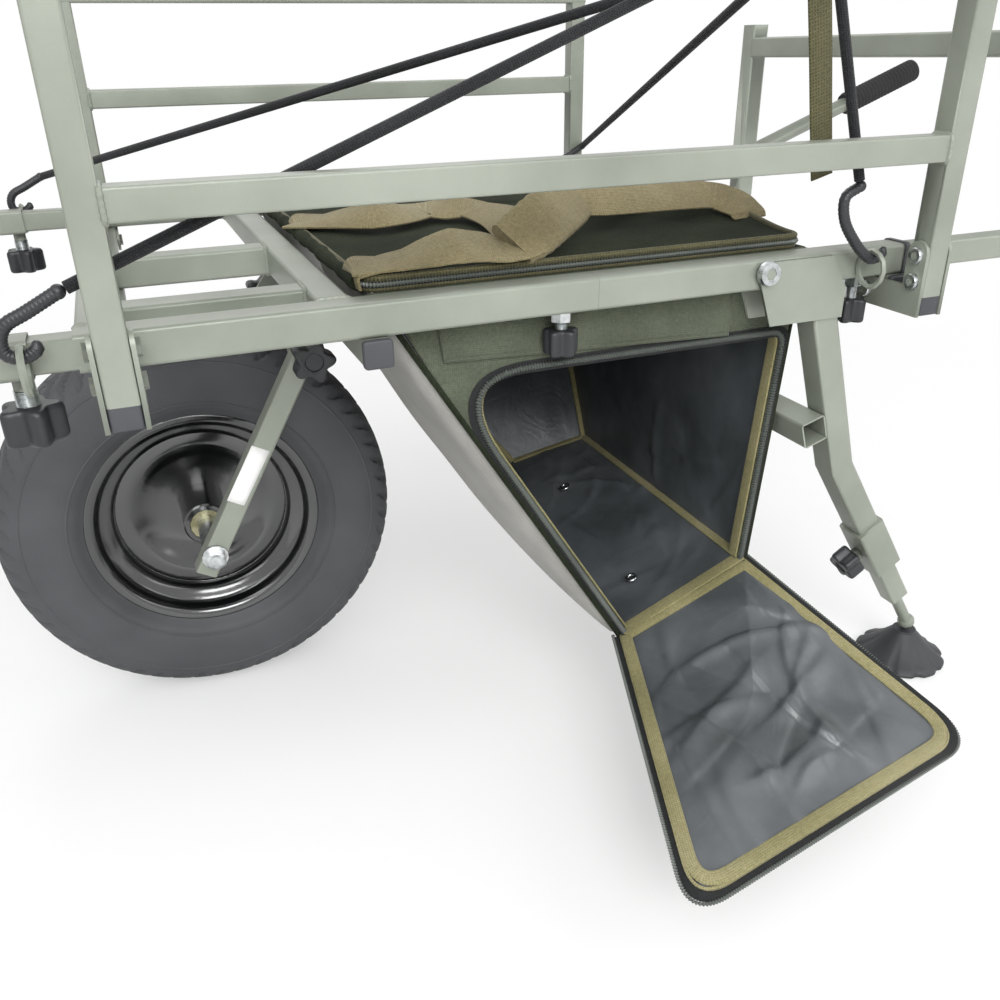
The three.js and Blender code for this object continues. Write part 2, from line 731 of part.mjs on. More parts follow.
// Rear legs. The upper tube leans back from the bracket, then bends further to the foot.
const upperRun = v(legBend.x - legTop.x, 0, legBend.z - legTop.z).normalize();
const lowerRun = v(ballCentre.x - legBend.x, 0, ballCentre.z - legBend.z).normalize();
const frontOf = (along) => v(along.z, 0, -along.x); // square to a leg tube, towards the front
const legWidth = railSize + 2 * platePlay + swage;
const onLower = (y, distance) => v(legBend.x, y, legBend.z).addScaledVector(lowerRun, distance);
const onUpper = (y, distance) => v(legTop.x, y, legTop.z).addScaledVector(upperRun, distance);
function legTube(from, to, grow = 0) {
  const outline = roundedOutline(legWidth + grow, railSize + grow, railRound);
  const bore = squareOutline(legWidth - 2 * railWall, railSize - 2 * railWall);
  const past = v(0, 0, 0).subVectors(to, from).normalize().multiplyScalar(overrun);
  return {
    outer: run(outline, from, to, axisY),
    bore: run(bore, from.clone().sub(past), to.clone().add(past), axisY),
  };
}
function bracketOutline() {
  const outline = new THREE.Shape();
  outline.absarc(legPivotX, legPivotZ, bracketEnd, Math.PI / 2, Math.PI);
  outline.lineTo(bracketFrontFoot, bracketBottom);
  outline.lineTo(bracketRear, bracketBottom);
  outline.lineTo(bracketRear, bracketBottom + railSize);
  outline.lineTo(bracketRearTop, bracketTop);
  outline.closePath();
  return outline;
}
const bracketIn = [railInner - platePlay - plateThickness, railInner - platePlay];
const bracketOut = [railOuter + platePlay, railOuter + platePlay + plateThickness];
const legBoltAt = (y) => v(legPivotX, y, legPivotZ);
const legTopDistance = (legTop.z - legTubeTop) / -upperRun.z;
const bendAngle = upperRun.angleTo(lowerRun);
const bendLap = (railSize / 2) * Math.tan(bendAngle / 2);
const legUpperEnd = onLower(railY, 0).addScaledVector(upperRun, bendLap);
const legUpper = legTube(onUpper(railY, legTopDistance), legUpperEnd);
const legLower = legTube(onLower(railY, -bendLap), onLower(railY, sleeveEnd));
const legSleeve = legTube(onLower(railY, sleeveStart), onLower(railY, sleeveEnd), sleeveSize - railSize);
const legFront = frontOf(lowerRun);
const fromLegAxis = (distance) => onLower(railY, legKnobAlong).addScaledVector(legFront, distance);
const farLeg = build([
  build([legUpper.outer, legLower.outer, legSleeve.outer,
    rod(nutRadius, fromLegAxis(sleeveSize / 2 - seam), fromLegAxis(sleeveSize / 2 + legNutHeight), 6)],
  [legUpper.bore, legLower.bore, rod(studHoleRadius, fromLegAxis(0), fromLegAxis(sleeveSize))]),
  plateXZ(bracketOutline(), bracketIn), plateXZ(bracketOutline(), bracketOut),
  rod(legBoltRadius, legBoltAt(bracketIn[0]), legBoltAt(bracketOut[1])),
  rod(legBoltHead, legBoltAt(bracketOut[1] - seam), legBoltAt(bracketOut[1] + legBoltHeadHeight), 6),
  rod(legBoltHead, legBoltAt(bracketIn[0] - legBoltTail), legBoltAt(bracketIn[0] + seam)),
]);
const slimLegTube = slimTube(onLower(railY, innerTubeStart), onLower(railY, innerTubeEnd), axisY);
const ball = new THREE.SphereGeometry(ballRadius, 10, 6).translate(ballCentre.x, railY, ballCentre.z);
const ballDistance = onLower(railY, 0).distanceTo(v(ballCentre.x, railY, ballCentre.z));
const farLegTube = build([
  build([slimLegTube.outer], [run(
    squareOutline(slimSize - 2 * railWall, slimSize - 2 * railWall),
    onLower(railY, innerTubeStart - overrun), onLower(railY, innerTubeEnd - slimSize / 4), axisY,
  )]),
  rod(stemRadius, onLower(railY, innerTubeEnd - slimSize / 8), onLower(railY, ballDistance)), ball,
]);
const neckTop = ballCentre.z - ballRadius - gap;
const footProfile = [
  [0, 0], [footRadius - footRim / 2, 0], [footRadius, footRim],
  [footRadius * footEdgeShare, 2 * footRim], [footRadius / 2, neckTop * footWaistShare],
  [footNeckRadius, neckTop * footEdgeShare], [footNeckRadius, neckTop], [0, neckTop],
].map(([r, z]) => new THREE.Vector2(r, z));
const footCone = new THREE.LatheGeometry(footProfile, 20).rotateX(Math.PI / 2);
const farFoot = footCone.translate(ballCentre.x, railY, 0);
for (const [name, side] of bothSides) {
  add(`leg_${name}`, build([forSide(farLeg, side)]), paint);
  add(`leg_tube_${name}`, build([forSide(farLegTube, side)]), paint);
  add(`foot_${name}`, build([forSide(farFoot, side)]), footPlastic);
  const tip = onLower(side * railY, legKnobAlong).addScaledVector(legFront, slimSize / 2 + gap);
  clampKnob(`leg_knob_${name}`, tip, legFront, axisY, legKnob);
}
const braceOut = railSize + gap;
const braceAt = (y) => onUpper(y, braceAlong).addScaledVector(frontOf(upperRun), braceOut);
const braceHalf = railOuter + platePlay;
add('leg_brace', bored(railTube(braceAt(-braceHalf), braceAt(braceHalf), upperRun)), paint);

// Front extension: a sleeve on each stub, a slim tube forward of it and a cross bar
const extensionTubes = bothSides.map(([, side]) => {
  const y = side * railY;
  const sleeveRear = side < 0 ? sleeveRearNear : sleeveRearFar;
  const sleeveFront = sleeveRear - sleeveLength;
  const frontBarFace = extensionFront + railSize / 2 - railWall / 2;
  const knobX = sleeveRear - frontKnobSetback;
  const sleeve = bored(
    railTube(v(sleeveRear, y, railZ), v(sleeveFront, y, railZ), axisY),
    [weldNut(knobX, y), lashingRing(sleeveRear - ringSetback, side)],
    [studHole(knobX, y)],
  );
  const slim = slimTube(v(sleeveFront + sleeveLip / 2, y, railZ), v(frontBarFace, y, railZ), axisY);
  return { sleeve, slim, lip: swagedCollar([sleeveFront, sleeveFront + sleeveLip], y) };
});
const frontBar = railTube(v(extensionFront, -railOuter, railZ), v(extensionFront, railOuter, railZ), axisX);
add('front_extension', build([
  build([frontBar.outer, ...extensionTubes.flatMap((t) => [t.slim.outer, t.lip])],
    [frontBar.bore, ...extensionTubes.map((t) => t.slim.bore)]),
  ...extensionTubes.map((t) => t.sleeve),
]), paint);

// Rear handle frame: slim tubes from the rails, uprights, a top bar and two handles
const uprightFace = railSize / 2 - railWall / 2;
const handleStart = v(uprightX + railSize / 4, 0, handleStartZ);
const handleRun = v(handleEnd.x - handleStart.x, 0, handleEnd.z - handleStart.z).normalize();
const handleTip = (side) => v(handleEnd.x, side * railY, handleEnd.z);
const onHandle = (side, distance) => handleTip(side).addScaledVector(handleRun, distance);
const handleLength = handleStart.distanceTo(v(handleEnd.x, 0, handleEnd.z));
const handleTubes = [-1, 1].flatMap((side) => {
  const y = side * railY;
  return [
    slimTube(v(handleTubeFront, y, railZ), v(uprightX - uprightFace, y, railZ), axisY),
    railTube(v(uprightX, y, uprightBottom), v(uprightX, y, uprightTop), axisY),
    {
      outer: rod(handleRadius, onHandle(side, -handleLength), onHandle(side, 0), 16),
      bore: rod(handleRadius - handleWall, onHandle(side, -handleLength), onHandle(side, overrun), 16),
    },
  ];
});
const topBarHalf = railInner + railWall / 2;
handleTubes.push(railTube(v(uprightX, -topBarHalf, topBarZ), v(uprightX, topBarHalf, topBarZ), axisX));
add('rear_handle_frame', weldment(handleTubes), paint);
for (const [name, side] of bothSides) {
  const closed = gripRadius - handleRadius - 2 * gap;
  add(`grip_${name}`, build(
    [rod(gripRadius, onHandle(side, -gripLength), onHandle(side, closed), gripSides)],
    [rod(handleRadius + gap, onHandle(side, -gripLength - overrun), onHandle(side, gap), gripSides)],
  ), foam);
}

// Bag: a hopper that narrows downwards, hung by a stiff rim between the rails. Its near face has an arched
// opening that the flap closes.
const nearFace = [
  [bagLeftTop, bagRimTop], [bagRight, bagRimTop], [bagBottomNearRight.x, bagBottomNearRight.z],
  [bagBottomNearLeft.x, bagBottomNearLeft.z],
];
function hopper(inset, rise) {
  const bottom = [bagBottomNearLeft, bagBottomNearRight, bagBottomFarRight, bagBottomFarLeft];
  const inward = [1, -1, -1, 1];
  const halfWidth = bagHalfWidth - inset;
  const ends = [bagLeftTop + inset, bagRight - inset];
  const top = ends.flatMap((x) => [-halfWidth, halfWidth].map((y) => v(x, y, bagRimTop + rise)));
  const floor = bottom.map(({ x, y, z }, i) => v(
    x + inward[i] * inset, y === undefined ? -halfWidth : y - inset, z + inset,
  ));
  return new ConvexGeometry([...top, ...floor]);
}
function archOutline() {
  const [leftTop, rightTop, rightBottom, leftBottom] = nearFace.map(([x, z]) => new THREE.Vector2(x, z));
  const onEdge = (from, to, z) => from.clone().lerp(to, (z - from.y) / (to.y - from.y));
  const inset = new THREE.Vector2(archInset, 0);
  const topLeft = onEdge(leftTop, leftBottom, archTop).add(inset);
  const topRight = onEdge(rightTop, rightBottom, archTop).sub(inset);
  const lowLeft = leftBottom.clone().add(inset);
  const lowRight = rightBottom.clone().sub(inset);
  const toward = (from, to, distance) => from.clone().add(to.clone().sub(from).setLength(distance));
  const outline = new THREE.Shape();
  const leftSide = toward(topLeft, lowLeft, archLeftCorner);
  const topFromLeft = toward(topLeft, topRight, archLeftCorner);
  const topFromRight = toward(topRight, topLeft, archRightCorner);
  const rightSide = toward(topRight, lowRight, archRightCorner);
  outline.moveTo(lowLeft.x, lowLeft.y + cloth);
  outline.lineTo(leftSide.x, leftSide.y);
  outline.quadraticCurveTo(topLeft.x, topLeft.y, topFromLeft.x, topFromLeft.y);
  outline.lineTo(topFromRight.x, topFromRight.y);
  outline.quadraticCurveTo(topRight.x, topRight.y, rightSide.x, rightSide.y);
  outline.lineTo(lowRight.x, lowRight.y + cloth);
  outline.closePath();
  return outline;
}
const rimZ = [bagRimTop - bagRimHeight, bagRimTop];
const rimHalf = railInner - gap;
const rimFront = crossBarMiddle + railSize / 2 + gap;
add('bag_body', build(
  [
    hopper(0, 0),
    block([rimFront, bracketNook], [-rimHalf, rimHalf], rimZ),
    block([bracketNook - seam, bagRimRear], [-bagHalfWidth, bagHalfWidth], rimZ),
  ],
  [
    hopper(cloth, overrun),
    plateXZ(archOutline(), [-bagHalfWidth - overrun, -bagHalfWidth + cloth + overrun]),
  ],
), canvas);

// The flap is open. Its lining faces up, and its hinge line is the near lower edge of the bag.
const flapHinge = v(bagBottomNearLeft.x, -bagHalfWidth - gap - seam, bagBottomNearLeft.z);
const flapHingeEnd = v(bagBottomNearRight.x, -bagHalfWidth - gap - seam, bagBottomNearRight.z);
const flapAlong = v(0, 0, 0).subVectors(flapHingeEnd, flapHinge).normalize();
const flapCornerLeft = v(flapOuterLeft.x, flapOuterLeft.y, flapOuterLeft.z);
const flapCornerRight = v(flapOuterRight.x, flapOuterRight.y, flapOuterRight.z);
const flapRootMiddle = flapHinge.clone().lerp(flapHingeEnd, 1 / 2);
const flapMiddle = flapCornerLeft.clone().lerp(flapCornerRight, 1 / 2).sub(flapRootMiddle);
const flapUp = v(0, 0, 0).crossVectors(flapMiddle, flapAlong).normalize();
const flapOut = v(0, 0, 0).crossVectors(flapAlong, flapUp);
function flapOutline() {
  const inPlane = (p) => {
    const offset = p.clone().sub(flapHinge);
    return new THREE.Vector2(offset.dot(flapAlong), offset.dot(flapOut));
  };
  const width = flapHinge.distanceTo(flapHingeEnd);
  const left = inPlane(flapCornerLeft);
  const right = inPlane(flapCornerRight);
  const rootLeft = new THREE.Vector2(0, flapRootGap);
  const rootRight = new THREE.Vector2(width, flapRootGap);
  const toward = (from, to) => from.clone().add(to.clone().sub(from).setLength(flapCorner));
  const outline = new THREE.Shape();
  outline.moveTo(rootLeft.x, rootLeft.y);
  outline.lineTo(rootRight.x, rootRight.y);
  outline.lineTo(toward(right, rootRight).x, toward(right, rootRight).y);
  outline.quadraticCurveTo(right.x, right.y, toward(right, left).x, toward(right, left).y);
  outline.lineTo(toward(left, right).x, toward(left, right).y);
  outline.quadraticCurveTo(left.x, left.y, toward(left, rootLeft).x, toward(left, rootLeft).y);
  outline.closePath();
  return outline;
}
const flapSlab = new THREE.ExtrudeGeometry(flapOutline(), {
  depth: flapThickness, bevelEnabled: false, curveSegments: 4,
});
flapSlab.translate(0, 0, -flapThickness);
flapSlab.applyMatrix4(new THREE.Matrix4().makeBasis(flapAlong, flapOut, flapUp).setPosition(flapHinge));
add('bag_flap', build([flapSlab]), canvas);

// The lid lies on the bag's rim, and two webbing carry straps lie on the lid
const lidTop = deckTop + lidThickness;
const lidSlab = block([lidFront, lidRear], [-lidHalfWidth, lidHalfWidth], [deckTop, lidTop]);
add('bag_lid', build([lidSlab]), lidCanvas);
for (const [name, shares] of Object.entries(strapShares)) {
  const centre = new THREE.SplineCurve(shares.map(([x, y]) => new THREE.Vector2(
    lidFront + x * (lidRear - lidFront), y * lidHalfWidth,
  )));
  const edge = (side) => Array.from({ length: strapSteps + 1 }, (_, i) => {
    const tangent = centre.getTangent(i / strapSteps);
    const normal = new THREE.Vector2(-tangent.y, tangent.x);
    return centre.getPoint(i / strapSteps).addScaledVector(normal, (side * strapWidth) / 2);
  });
  const outline = new THREE.Shape([...edge(-1), ...edge(1).reverse()]);
  const strap = new THREE.ExtrudeGeometry(outline, { depth: strapThickness, bevelEnabled: false });
  add(`carry_strap_${name}`, build([strap.translate(0, 0, lidTop + seam)]), webbing);
}

// Elastic cords: each runs from a hook on a lashing ring to the near panel's top rail
const topRailCordY = -(panelFaceY - cordRadius - gap);
const cords = [
  { name: 'near_front', ring: sleeveRearNear - ringSetback, side: -1, shares: hookShortShares },
  { name: 'far_front', ring: sleeveRearFar - ringSetback, side: 1, shares: hookShortShares },
  { name: 'near_rear', ring: ringNearRear, side: -1, shares: hookLongShares },
  { name: 'far_rear', ring: ringFarRear, side: 1, shares: hookShortShares },
];

// A round bar along a smooth curve
function bentRod(points, radius, sides, steps) {
  const section = new THREE.Shape();
  for (let i = 0; i < sides; i += 1) {
    const angle = (2 * Math.PI * i) / sides;
    if (i === 0) section.moveTo(radius * Math.cos(angle), radius * Math.sin(angle));
    else section.lineTo(radius * Math.cos(angle), radius * Math.sin(angle));
  }
  section.closePath();
  const extrudePath = new THREE.CatmullRomCurve3(points, false, 'centripetal');
  return new THREE.ExtrudeGeometry(section, { steps, extrudePath, bevelEnabled: false });
}

for (const { name, ring, side, shares } of cords) {
  const bend = shares.map(([x, z]) => v(ring + x * ringRadius, side * lashingRingY, ringZ + z * ringRadius));
  const knot = new THREE.SphereGeometry(knotRadius, 8, 6).translate(bend[0].x, bend[0].y, bend[0].z);
  add(`cord_hook_${name}`, build([bentRod(bend, hookRadius, hookSides, hookSteps), knot]), plastic);
  const end = v(cordEnds[name].x, topRailCordY, cordEnds[name].z);
  const pull = end.clone().sub(bend[0]).normalize();
  const start = bend[0].clone().addScaledVector(pull, knotRadius + gap);
  const steps = Math.round(start.distanceTo(end) / cordSpacing);
  const route = [start, start.clone().lerp(end, 1 / 2), end];
  add(`cord_${name}`, build([bentRod(route, cordRadius, cordSides, steps)]), elastic);
}

// The lashing strap hangs from the inner face of the near top rail
const lashY = -(panelFaceY - gap - lashThickness / 2);
const lashLine = [
  v(lashTop.x, lashY, lashTop.z), v(lashBend.x, lashY, lashBend.z), v(lashTail.x, lashTail.y, lashTail.z),
];
const lashFront = lashLine.map((p) => p.clone().add(v(0, -lashThickness / 2, 0)));
const lashBack = lashLine.map((p) => p.clone().add(v(0, lashThickness / 2, 0)));
const lashRing = [...lashFront, ...lashBack.reverse()];
const lashSection = new THREE.Shape(lashRing.map((p) => new THREE.Vector2(p.y, p.z)));
const lash = new THREE.ExtrudeGeometry(lashSection, { depth: lashWidth, bevelEnabled: false });
lash.applyMatrix4(new THREE.Matrix4().makeBasis(axisY, axisZ, axisX)).translate(-lashWidth / 2, 0, 0);
const lashPlaces = lash.getAttribute('position');
for (let i = 0; i < lashPlaces.count; i += 1) {
  const z = lashPlaces.getZ(i);
  const [from, to] = z > lashBend.z ? [lashTop, lashBend] : [lashBend, lashTail];
  const share = (z - from.z) / (to.z - from.z);
  lashPlaces.setX(i, lashPlaces.getX(i) + from.x + share * (to.x - from.x));
}
add('lash_strap', build([lash]), olive);

export default trolley;
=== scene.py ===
"""Looks for a one-wheel fishing trolley: finished steel, a treaded wheel, cords, and a sewn bag with flap and lid.

Lengths in the tables are millimetres in the frame the part is drawn in: X to the rear from the wheel's axle, Y to
the far side, Z above the ground. metres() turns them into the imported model's frame.
"""

import json
import math

import bmesh
import bpy
import numpy as np
from mathutils import Matrix, Vector


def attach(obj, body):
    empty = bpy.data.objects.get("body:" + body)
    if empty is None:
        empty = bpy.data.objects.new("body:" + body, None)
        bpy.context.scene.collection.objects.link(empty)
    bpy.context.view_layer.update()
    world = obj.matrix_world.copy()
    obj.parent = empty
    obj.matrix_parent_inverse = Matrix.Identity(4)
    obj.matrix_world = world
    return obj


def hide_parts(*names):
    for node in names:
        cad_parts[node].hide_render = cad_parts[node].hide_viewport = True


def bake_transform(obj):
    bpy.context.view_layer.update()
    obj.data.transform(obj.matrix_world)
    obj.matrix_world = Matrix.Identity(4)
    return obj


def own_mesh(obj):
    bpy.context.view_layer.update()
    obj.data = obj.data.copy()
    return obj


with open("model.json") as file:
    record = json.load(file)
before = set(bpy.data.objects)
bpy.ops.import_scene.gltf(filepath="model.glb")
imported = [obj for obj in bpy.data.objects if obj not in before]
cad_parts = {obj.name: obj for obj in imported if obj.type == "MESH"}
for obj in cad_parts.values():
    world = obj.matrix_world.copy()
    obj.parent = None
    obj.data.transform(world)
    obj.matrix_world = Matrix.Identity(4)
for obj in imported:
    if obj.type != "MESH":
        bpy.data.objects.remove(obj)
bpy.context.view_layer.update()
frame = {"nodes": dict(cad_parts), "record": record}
nodes = frame["nodes"]
body_of_node = {node: body for body, members in frame["record"]["behaviour"]["bodies"].items() for node in members}

MM = 0.001
ORIGIN = np.array([101.0, 0.0, 462.0])  # the deck's middle cross bar, in millimetres
AXLE_Z = 193.0
RAIL_Y = 287.5
RAIL_Z = 449.5
PANEL_Y = 330.5
POSTS = (-44.0, 582.0)
SIDES = (("near", -1), ("far", 1))
MERGE_DISTANCE = 2e-6


def metres(points):
    """Millimetres in the drawing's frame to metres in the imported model's frame."""
    return (np.asarray(points, float) - ORIGIN) * MM


def unit(vector):
    """A vector, or an array of them, at length one."""
    vector = np.asarray(vector, float)
    return vector / np.linalg.norm(vector, axis=-1, keepdims=True)


def link_object(name, data):
    """A new object at the origin for a mesh, lamp or camera, in the scene."""
    thing = bpy.data.objects.new(name, data)
    bpy.context.scene.collection.objects.link(thing)
    return thing


# Camera: solved from the frame's vanishing points and the rim's ellipse in the photograph
CAMERA_PLACE = (-25.857, -901.712, 613.892)
CAMERA_YAW, CAMERA_PITCH, CAMERA_ROLL = math.radians(21.620), math.radians(26.234), math.radians(-1.0056)
FOCAL_PIXELS, PICTURE_PIXELS, SENSOR_WIDTH = 912.29, 1000.0, 36.0


def make_camera():
    """A camera that looks along yaw and pitch, rolled about its own line of sight."""
    forward = np.array([math.sin(CAMERA_YAW) * math.cos(CAMERA_PITCH),
                        math.cos(CAMERA_YAW) * math.cos(CAMERA_PITCH), -math.sin(CAMERA_PITCH)])
    level = np.array([math.cos(CAMERA_YAW), -math.sin(CAMERA_YAW), 0.0])
    upright = np.cross(level, forward)
    right = level * math.cos(CAMERA_ROLL) + upright * math.sin(CAMERA_ROLL)
    up = upright * math.cos(CAMERA_ROLL) - level * math.sin(CAMERA_ROLL)
    camera = link_object("photo_camera", bpy.data.cameras.new("photo_camera"))
    camera.data.sensor_width = SENSOR_WIDTH
    camera.data.lens = FOCAL_PIXELS * SENSOR_WIDTH / PICTURE_PIXELS
    camera.data.clip_start = 0.05
    turn = Matrix([right, up, -forward]).transposed().to_4x4()
    camera.matrix_world = Matrix.Translation(Vector(metres(CAMERA_PLACE))) @ turn
    bpy.context.scene.camera = camera


make_camera()


# Materials

def linear(code):
    """An sRGB hex colour as linear red, green, blue and full alpha."""
    channels = [int(code[i:i + 2], 16) / 255 for i in (1, 3, 5)]
    return tuple(c / 12.92 if c <= 0.04045 else ((c + 0.055) / 1.055) ** 2.4 for c in channels) + (1.0,)


def add_node(tree, kind, inputs=None, **settings):
    """Adds one node. Settings are its properties, and inputs are values or sockets to link, by the input's name."""
    node = tree.nodes.new(kind)
    for name, value in settings.items():
        setattr(node, name, value)
    for name, value in (inputs or {}).items():
        if isinstance(value, bpy.types.NodeSocket):
            tree.links.new(value, node.inputs[name])
        else:
            node.inputs[name].default_value = value
    return node


def new_material(name, colour, **shader):
    """A material with a Principled shader, and the coordinates that its patterns read."""
    material = bpy.data.materials.new(name)
    material.use_nodes = True
    material.diffuse_color = linear(colour)
    tree = material.node_tree
    surface = tree.nodes["Principled BSDF"]
    surface.inputs["Base Color"].default_value = linear(colour)
    for key, value in shader.items():
        surface.inputs[key.replace("_", " ")].default_value = value
    return material, tree, surface, add_node(tree, "ShaderNodeTexCoord").outputs


def ramp(tree, factor, stops):
    """A colour ramp over factor, whose stops are places and sRGB hex colours."""
    node = add_node(tree, "ShaderNodeValToRGB", {"Fac": factor})
    elements = node.color_ramp.elements
    while len(elements) < len(stops):
        elements.new(0.5)
    for element, (place, colour) in zip(elements, stops):
        element.position = place
        element.color = linear(colour)
    return node.outputs["Color"]


def bump(tree, surface, height, depth, strength=1.0):
    """Raises the surface by height times depth, in metres."""
    node = add_node(tree, "ShaderNodeBump", {"Height": height, "Distance": depth, "Strength": strength})
    tree.links.new(node.outputs["Normal"], surface.inputs["Normal"])


def coated_steel(name, colours, roughness, grain_mm=1.2, index=1.5):
    """Steel under a sprayed and baked coat. The coat gives soft highlights, a faint orange peel and a slow
    change of tone from handling. A high index is a deep gloss that mirrors the room."""
    material, tree, surface, place = new_material(name, colours[1], Roughness=roughness, Metallic=0.15, IOR=index)
    slow = add_node(tree, "ShaderNodeTexNoise", {"Vector": place["Object"], "Scale": 9.0, "Detail": 5.0})
    tree.links.new(ramp(tree, slow.outputs["Fac"], [(0.3, colours[0]), (0.5, colours[1]), (0.72, colours[2])]),
                   surface.inputs["Base Color"])
    peel = add_node(tree, "ShaderNodeTexNoise", {"Vector": place["Object"], "Scale": 1 / (grain_mm * MM),
                                                 "Detail": 2.0})
    bump(tree, surface, peel.outputs["Fac"], 0.00008)
    return material


def plated_steel(name, colours, roughness):
    """Zinc-plated or passivated steel: bright metal whose plating is a little cloudy."""
    material, tree, surface, place = new_material(name, colours[0], Metallic=1.0)
    cloud = add_node(tree, "ShaderNodeTexNoise", {"Vector": place["Object"], "Scale": 160.0, "Detail": 4.0})
    tree.links.new(ramp(tree, cloud.outputs["Fac"], [(0.35, colours[0]), (0.65, colours[1])]),
                   surface.inputs["Base Color"])
    shine = add_node(tree, "ShaderNodeMapRange", {"Value": cloud.outputs["Fac"], "To Min": roughness * 0.7,
                                                  "To Max": roughness * 1.4})
    tree.links.new(shine.outputs["Result"], surface.inputs["Roughness"])
    return material


def moulded(name, colours, roughness, grain_mm, depth_mm, dust=None):
    """Moulded rubber, foam or plastic: an even body with the fine grain of its mould, and dust where it is given."""
    material, tree, surface, place = new_material(name, colours[0], Roughness=roughness)
    fine = add_node(tree, "ShaderNodeTexNoise", {"Vector": place["Object"], "Scale": 1 / (grain_mm * MM),
                                                 "Detail": 3.0})
    slow = add_node(tree, "ShaderNodeTexNoise", {"Vector": place["Object"], "Scale": 14.0, "Detail": 6.0})
    stops = [(0.3, colours[0]), (0.7, colours[1])] + ([(0.85, dust)] if dust else [])
    tree.links.new(ramp(tree, slow.outputs["Fac"], stops), surface.inputs["Base Color"])
    bump(tree, surface, fine.outputs["Fac"], depth_mm * MM)
    return material


def woven(name, colours, thread_mm, roughness, depth_mm, sheen=0.1, crease_mm=0.0, crease_size=30.0, gap_shade=0.72,
          yarn=0.5, shine=0.25):
    """Plain-woven cloth. Two crossed waves, one thread apart, give the weave, and a slow noise gives worn and faded
    places. Flecks 2 mm across are the uneven yarn. A crease depth adds the folds of thin nylon. Threads finer than 1
    mm are drawn 1 mm apart or more, because they don't show in the picture. The holes between threads are painted
    darker, as shade: the gap setting is how dark this painted shade is, yarn how strong the flecks are and shine how
    much the cloth mirrors."""
    material, tree, surface, place = new_material(name, colours[1], Roughness=roughness, Sheen_Weight=sheen,
                                                  Specular_IOR_Level=shine)
    where = place["UV"]
    scale = math.pi / (thread_mm * MM * 10)
    warp = add_node(tree, "ShaderNodeTexWave", {"Vector": where, "Scale": scale, "Distortion": 0.4,
                                                "Detail Scale": 3.0}, bands_direction="X")
    weft = add_node(tree, "ShaderNodeTexWave", {"Vector": where, "Scale": scale, "Distortion": 0.4,
                                                "Detail Scale": 3.0}, bands_direction="Y")
    weave = add_node(tree, "ShaderNodeMath", {0: warp.outputs["Fac"], 1: weft.outputs["Fac"]}, operation="MAXIMUM")
    slow = add_node(tree, "ShaderNodeTexNoise", {"Vector": place["Object"], "Scale": 11.0, "Detail": 6.0})
    fleck = add_node(tree, "ShaderNodeTexNoise", {"Vector": place["Object"], "Scale": 420.0, "Detail": 2.0})
    mixed = add_node(tree, "ShaderNodeMath", {0: fleck.outputs["Fac"], 1: yarn, 2: slow.outputs["Fac"]},
                     operation="MULTIPLY_ADD")
    halved = add_node(tree, "ShaderNodeMath", {0: mixed.outputs[0], 1: 1 + yarn}, operation="DIVIDE")
    tone = ramp(tree, halved.outputs[0], [(0.36, colours[0]), (0.5, colours[1]), (0.66, colours[2])])
    # The holes between threads, where the weave dips, are darkened in colour by the gap setting: painted shade.
    painted_gap_shade = add_node(tree, "ShaderNodeMapRange", {"Value": weave.outputs[0], "To Min": gap_shade, "To Max": 1.0})
    shade = add_node(tree, "ShaderNodeVectorMath", {0: tone, 1: painted_gap_shade.outputs["Result"]}, operation="MULTIPLY")
    tree.links.new(shade.outputs[0], surface.inputs["Base Color"])
    height = weave.outputs[0]
    if crease_mm:
        wide = add_node(tree, "ShaderNodeTexNoise", {"Vector": place["Object"], "Scale": crease_size,
                                                     "Detail": 3.0, "Distortion": 1.6})
        ridge = add_node(tree, "ShaderNodeMath", {0: wide.outputs["Fac"], 1: 0.5}, operation="SUBTRACT")
        sharp = add_node(tree, "ShaderNodeMath", {0: ridge.outputs[0]}, operation="ABSOLUTE")
        grown = add_node(tree, "ShaderNodeMath", {0: sharp.outputs[0], 1: crease_mm / depth_mm}, operation="MULTIPLY")
        total = add_node(tree, "ShaderNodeMath", {0: grown.outputs[0], 1: weave.outputs[0]}, operation="ADD")
        height = total.outputs[0]
    bump(tree, surface, height, depth_mm * MM)
    return material


GREEN_COAT = coated_steel("sage green powder coat on steel", ("#7D8277", "#898E83", "#94998E"), 0.40)
ZINC = plated_steel("zinc-plated steel", ("#A7ABAC", "#D0D3D3"), 0.28)
DULL_ZINC = plated_steel("yellow passivated steel", ("#8A8668", "#A9A58A"), 0.38)
BLACK_ENAMEL = coated_steel("black gloss enamel on steel", ("#08090A", "#0B0C0D", "#121314"), 0.16, grain_mm=6.0,
                            index=2.1)
TYRE_RUBBER = moulded("vulcanised tyre rubber", ("#3E3F42", "#4A4B4E"), 0.66, 2.0, 0.10, dust="#5D5D5C")
TUBE_RUBBER = moulded("butyl rubber", ("#202021", "#2A2A2B"), 0.6, 2.0, 0.04)
BLACK_PLASTIC = moulded("moulded black nylon", ("#1C1D20", "#292A2D"), 0.42, 0.8, 0.05)
CAP_PLASTIC = moulded("black polyethylene cap", ("#37383C", "#44464A"), 0.5, 1.0, 0.05)
FOOT_RUBBER = moulded("hard black rubber", ("#232427", "#303135"), 0.55, 1.4, 0.08)
GRIP_FOAM = moulded("nitrile foam", ("#161617", "#222223"), 0.9, 1.1, 0.25)
BAG_CANVAS = woven("olive polyester canvas", ("#454A3D", "#53594A", "#626858"), 1.8, 0.85, 0.22, gap_shade=0.7)
LID_CANVAS = woven("dark olive polyester canvas", ("#20241B", "#292E22", "#363B2D"), 2.2, 0.92, 0.25, sheen=0.0,
                   gap_shade=0.7, shine=0.1)
COATED_CLOTH = woven("grey PVC-coated cloth", ("#85847F", "#92918C", "#9E9D98"), 1.5, 0.5, 0.10, sheen=0.05,
                     crease_mm=0.5, crease_size=8.0, gap_shade=0.9, yarn=0.1, shine=0.4)
